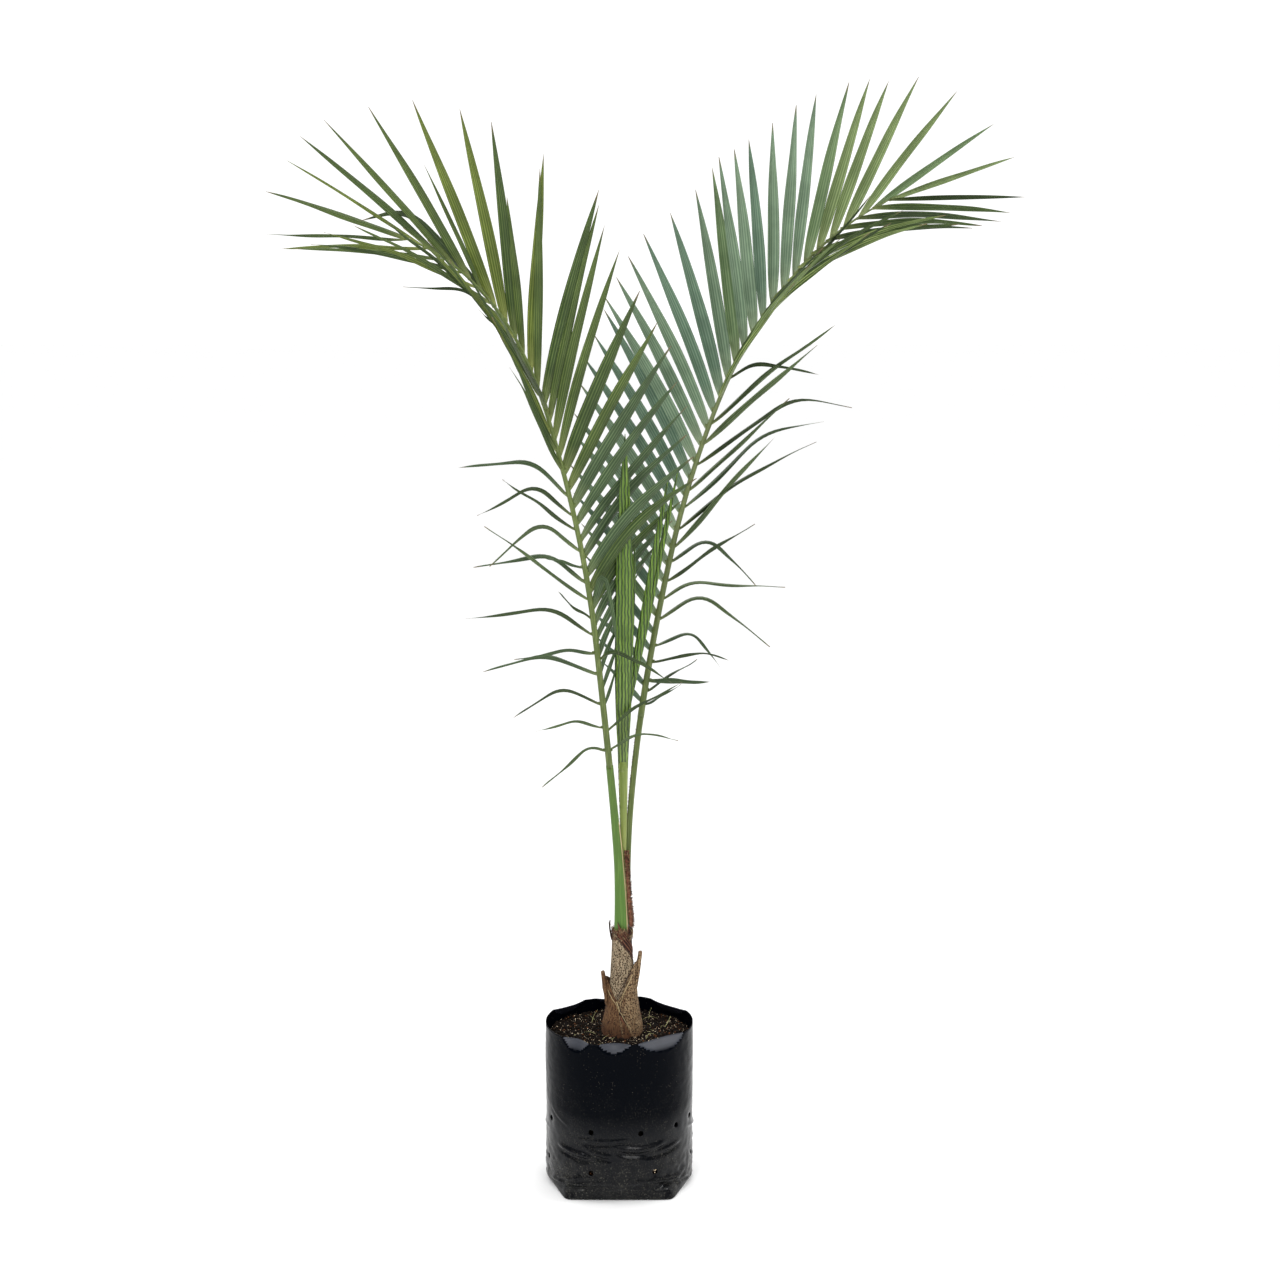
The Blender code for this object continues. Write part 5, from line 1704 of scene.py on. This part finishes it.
def leaflet_form(name, leaf, shake):
    """Walks out from the rib in short steps, turning downwards, and lays the blade along them."""
    row, place, launch, roll, length, width, fold, droop, twist, spread, single = leaf
    along, inward, face = rib_frame(name, place)
    roll, launch, twist = math.radians(roll), math.radians(launch), math.radians(twist)
    if row == "inner":
        out = inward * math.cos(roll) - face * math.sin(roll)
    else:
        out = face * math.sin(roll) - inward * math.cos(roll)
    start = (along * math.cos(launch) + out * math.sin(launch)).normalized()
    flat = along.cross(out).normalized()
    level = Vector((start.x, start.y, 0.0)).normalized()
    lift = math.asin(max(-1.0, min(1.0, start.z)))
    stations = [(rib_at(name, place), start)]
    for k in range(LEAF_STEPS):
        turned = smooth_step(((k + 0.5) / LEAF_STEPS - fold + spread) / (2.0 * spread))
        angle = lift - math.radians(droop) * turned
        heading = level * math.cos(angle) + Vector((0.0, 0.0, math.sin(angle)))
        stations.append((stations[-1][0] + heading * length / LEAF_STEPS, heading))
    phase, sway, keel_turn = shake.uniform(0.0, math.tau), shake.uniform(-1.0, 1.0), shake.uniform(0.75, 1.25)
    keel = math.radians(KEEL[name] * keel_turn * (DEEPER_KEEL if single or row == "outer" else 1.0))

    def axes(share):
        scaled = min(max(share, 0.0), 1.0) * LEAF_STEPS
        k = min(int(scaled), LEAF_STEPS - 1)
        centre = stations[k][0].lerp(stations[k + 1][0], scaled - k)
        heading = stations[k][1].lerp(stations[k + 1][1], scaled - k).normalized()
        across = flat.cross(heading).normalized()
        through = heading.cross(across)
        wide = across * math.cos(twist) + through * math.sin(twist)
        return centre, heading, wide, heading.cross(wide)

    sign = 1.0 if axes(0.3)[3].dot(face) > 0.0 else -1.0

    def form(spot):
        share = spot.y + 0.5
        centre, _, wide, deep = axes(share)
        deep = deep * sign
        side = spot.x * 2.0
        half = width / 2.0 * leaf_swell(share)
        fold_now = keel * (1.15 - 0.5 * share)
        ripple = math.sin(phase + share * 9.0) * RIPPLE + sway * TIP_SWAY * share ** 4
        wave = side * math.sin(phase * 2.0 + share * 14.0) * EDGE_WAVE
        flat_part = wide * (side * half * math.cos(fold_now) + sway * SIDE_SWAY * share ** 3)
        return centre + flat_part + deep * (ripple + wave - abs(side) * half * math.sin(fold_now))
    return form, stations


print("a leaflet is laid along", LEAF_STEPS, "steps")

# %% Dealing out the greens
LEFT_GREY_BELOW = 0.6
RIGHT_TIP_FROM = 0.86


def green_for(name, leaf, shake):
    """Deals a green to a leaflet by its frond, its row and its place."""
    row, place, single = leaf[0], leaf[1], leaf[-1]
    if single:
        choices = ("slim_deep", "slim_deep", "slim_pale", "left_grey")
    elif name == "left" and row == "outer":
        choices = ("left_olive", "left_mid", "left_deep")
    elif name == "left" and place < LEFT_GREY_BELOW:
        choices = ("left_grey", "left_grey", "left_deep")
    elif name == "left":
        choices = ("left_deep", "left_mid", "left_mid", "left_olive")
    elif row == "outer":
        choices = ("right_bright", "slim_deep", "left_deep", "right_tip")
    elif place < RIGHT_TIP_FROM:
        choices = ("right_blue", "right_grey", "right_grey", "right_mid")
    else:
        choices = ("right_mid", "right_tip")
    return leaf_index[shake.choice(choices)]


print("one green drawn:", list(LEAF_GREENS)[green_for("left", ("outer", 0.9, False), random.Random(1))])

# %% Leaflets
NUB_LENGTH = 2.0  # a nub is twice as long as it is wide
leaf_pattern = pattern(blade(4, 24))
nub_ball = bmesh.new()
bmesh.ops.create_icosphere(nub_ball, subdivisions=1, radius=1.0)
nub_pattern = pattern(nub_ball)


def nub_form(leaf, stations):
    """The small swelling where a leaflet leaves the rib."""
    root, heading = stations[0]
    side = heading.cross(Vector((0.0, 1.0, 0.0))).normalized()
    over = heading.cross(side)
    seat = root + heading * (between(RIB_SIZES, leaf[1])[1] * 1.15)
    swell = 0.00055 + 0.09 * leaf[5]

    def form(spot):
        return seat + heading * spot.z * swell * NUB_LENGTH + side * spot.x * swell + over * spot.y * swell
    return form


for name in FRONDS:
    shake = random.Random(70 + FRONDS[name]["seed"])
    leaves = bmesh.new()
    nubs = bmesh.new()
    reach_top = 0.0
    for leaf in leaflet_rows(name):
        form, stations = leaflet_form(name, leaf, shake)
        add_copy(leaves, leaf_pattern, form, green_for(name, leaf, shake))
        reach_top = max(reach_top, stations[-1][0].z)
        add_copy(nubs, nub_pattern, nub_form(leaf, stations))
    nodes = [f"frond_{name}_lower", f"frond_{name}_upper"]
    piece(f"leaflets_{name}", leaves, leaf_finishes, nodes, outward=False)
    nub_tone = rib_left_tone if name == "left" else stalk_right
    piece(f"leaflet_nubs_{name}", nubs, [nub_tone], nodes)
    print(name, "leaflets reach", round(reach_top, 4))

# %% [markdown]
# ## Clearing up
# The small patterns have done their work and are removed.

# %% Finish
for mesh in [mesh for mesh in bpy.data.meshes if mesh.name.startswith("pattern")]:
    bpy.data.meshes.remove(mesh)
bpy.context.view_layer.update()
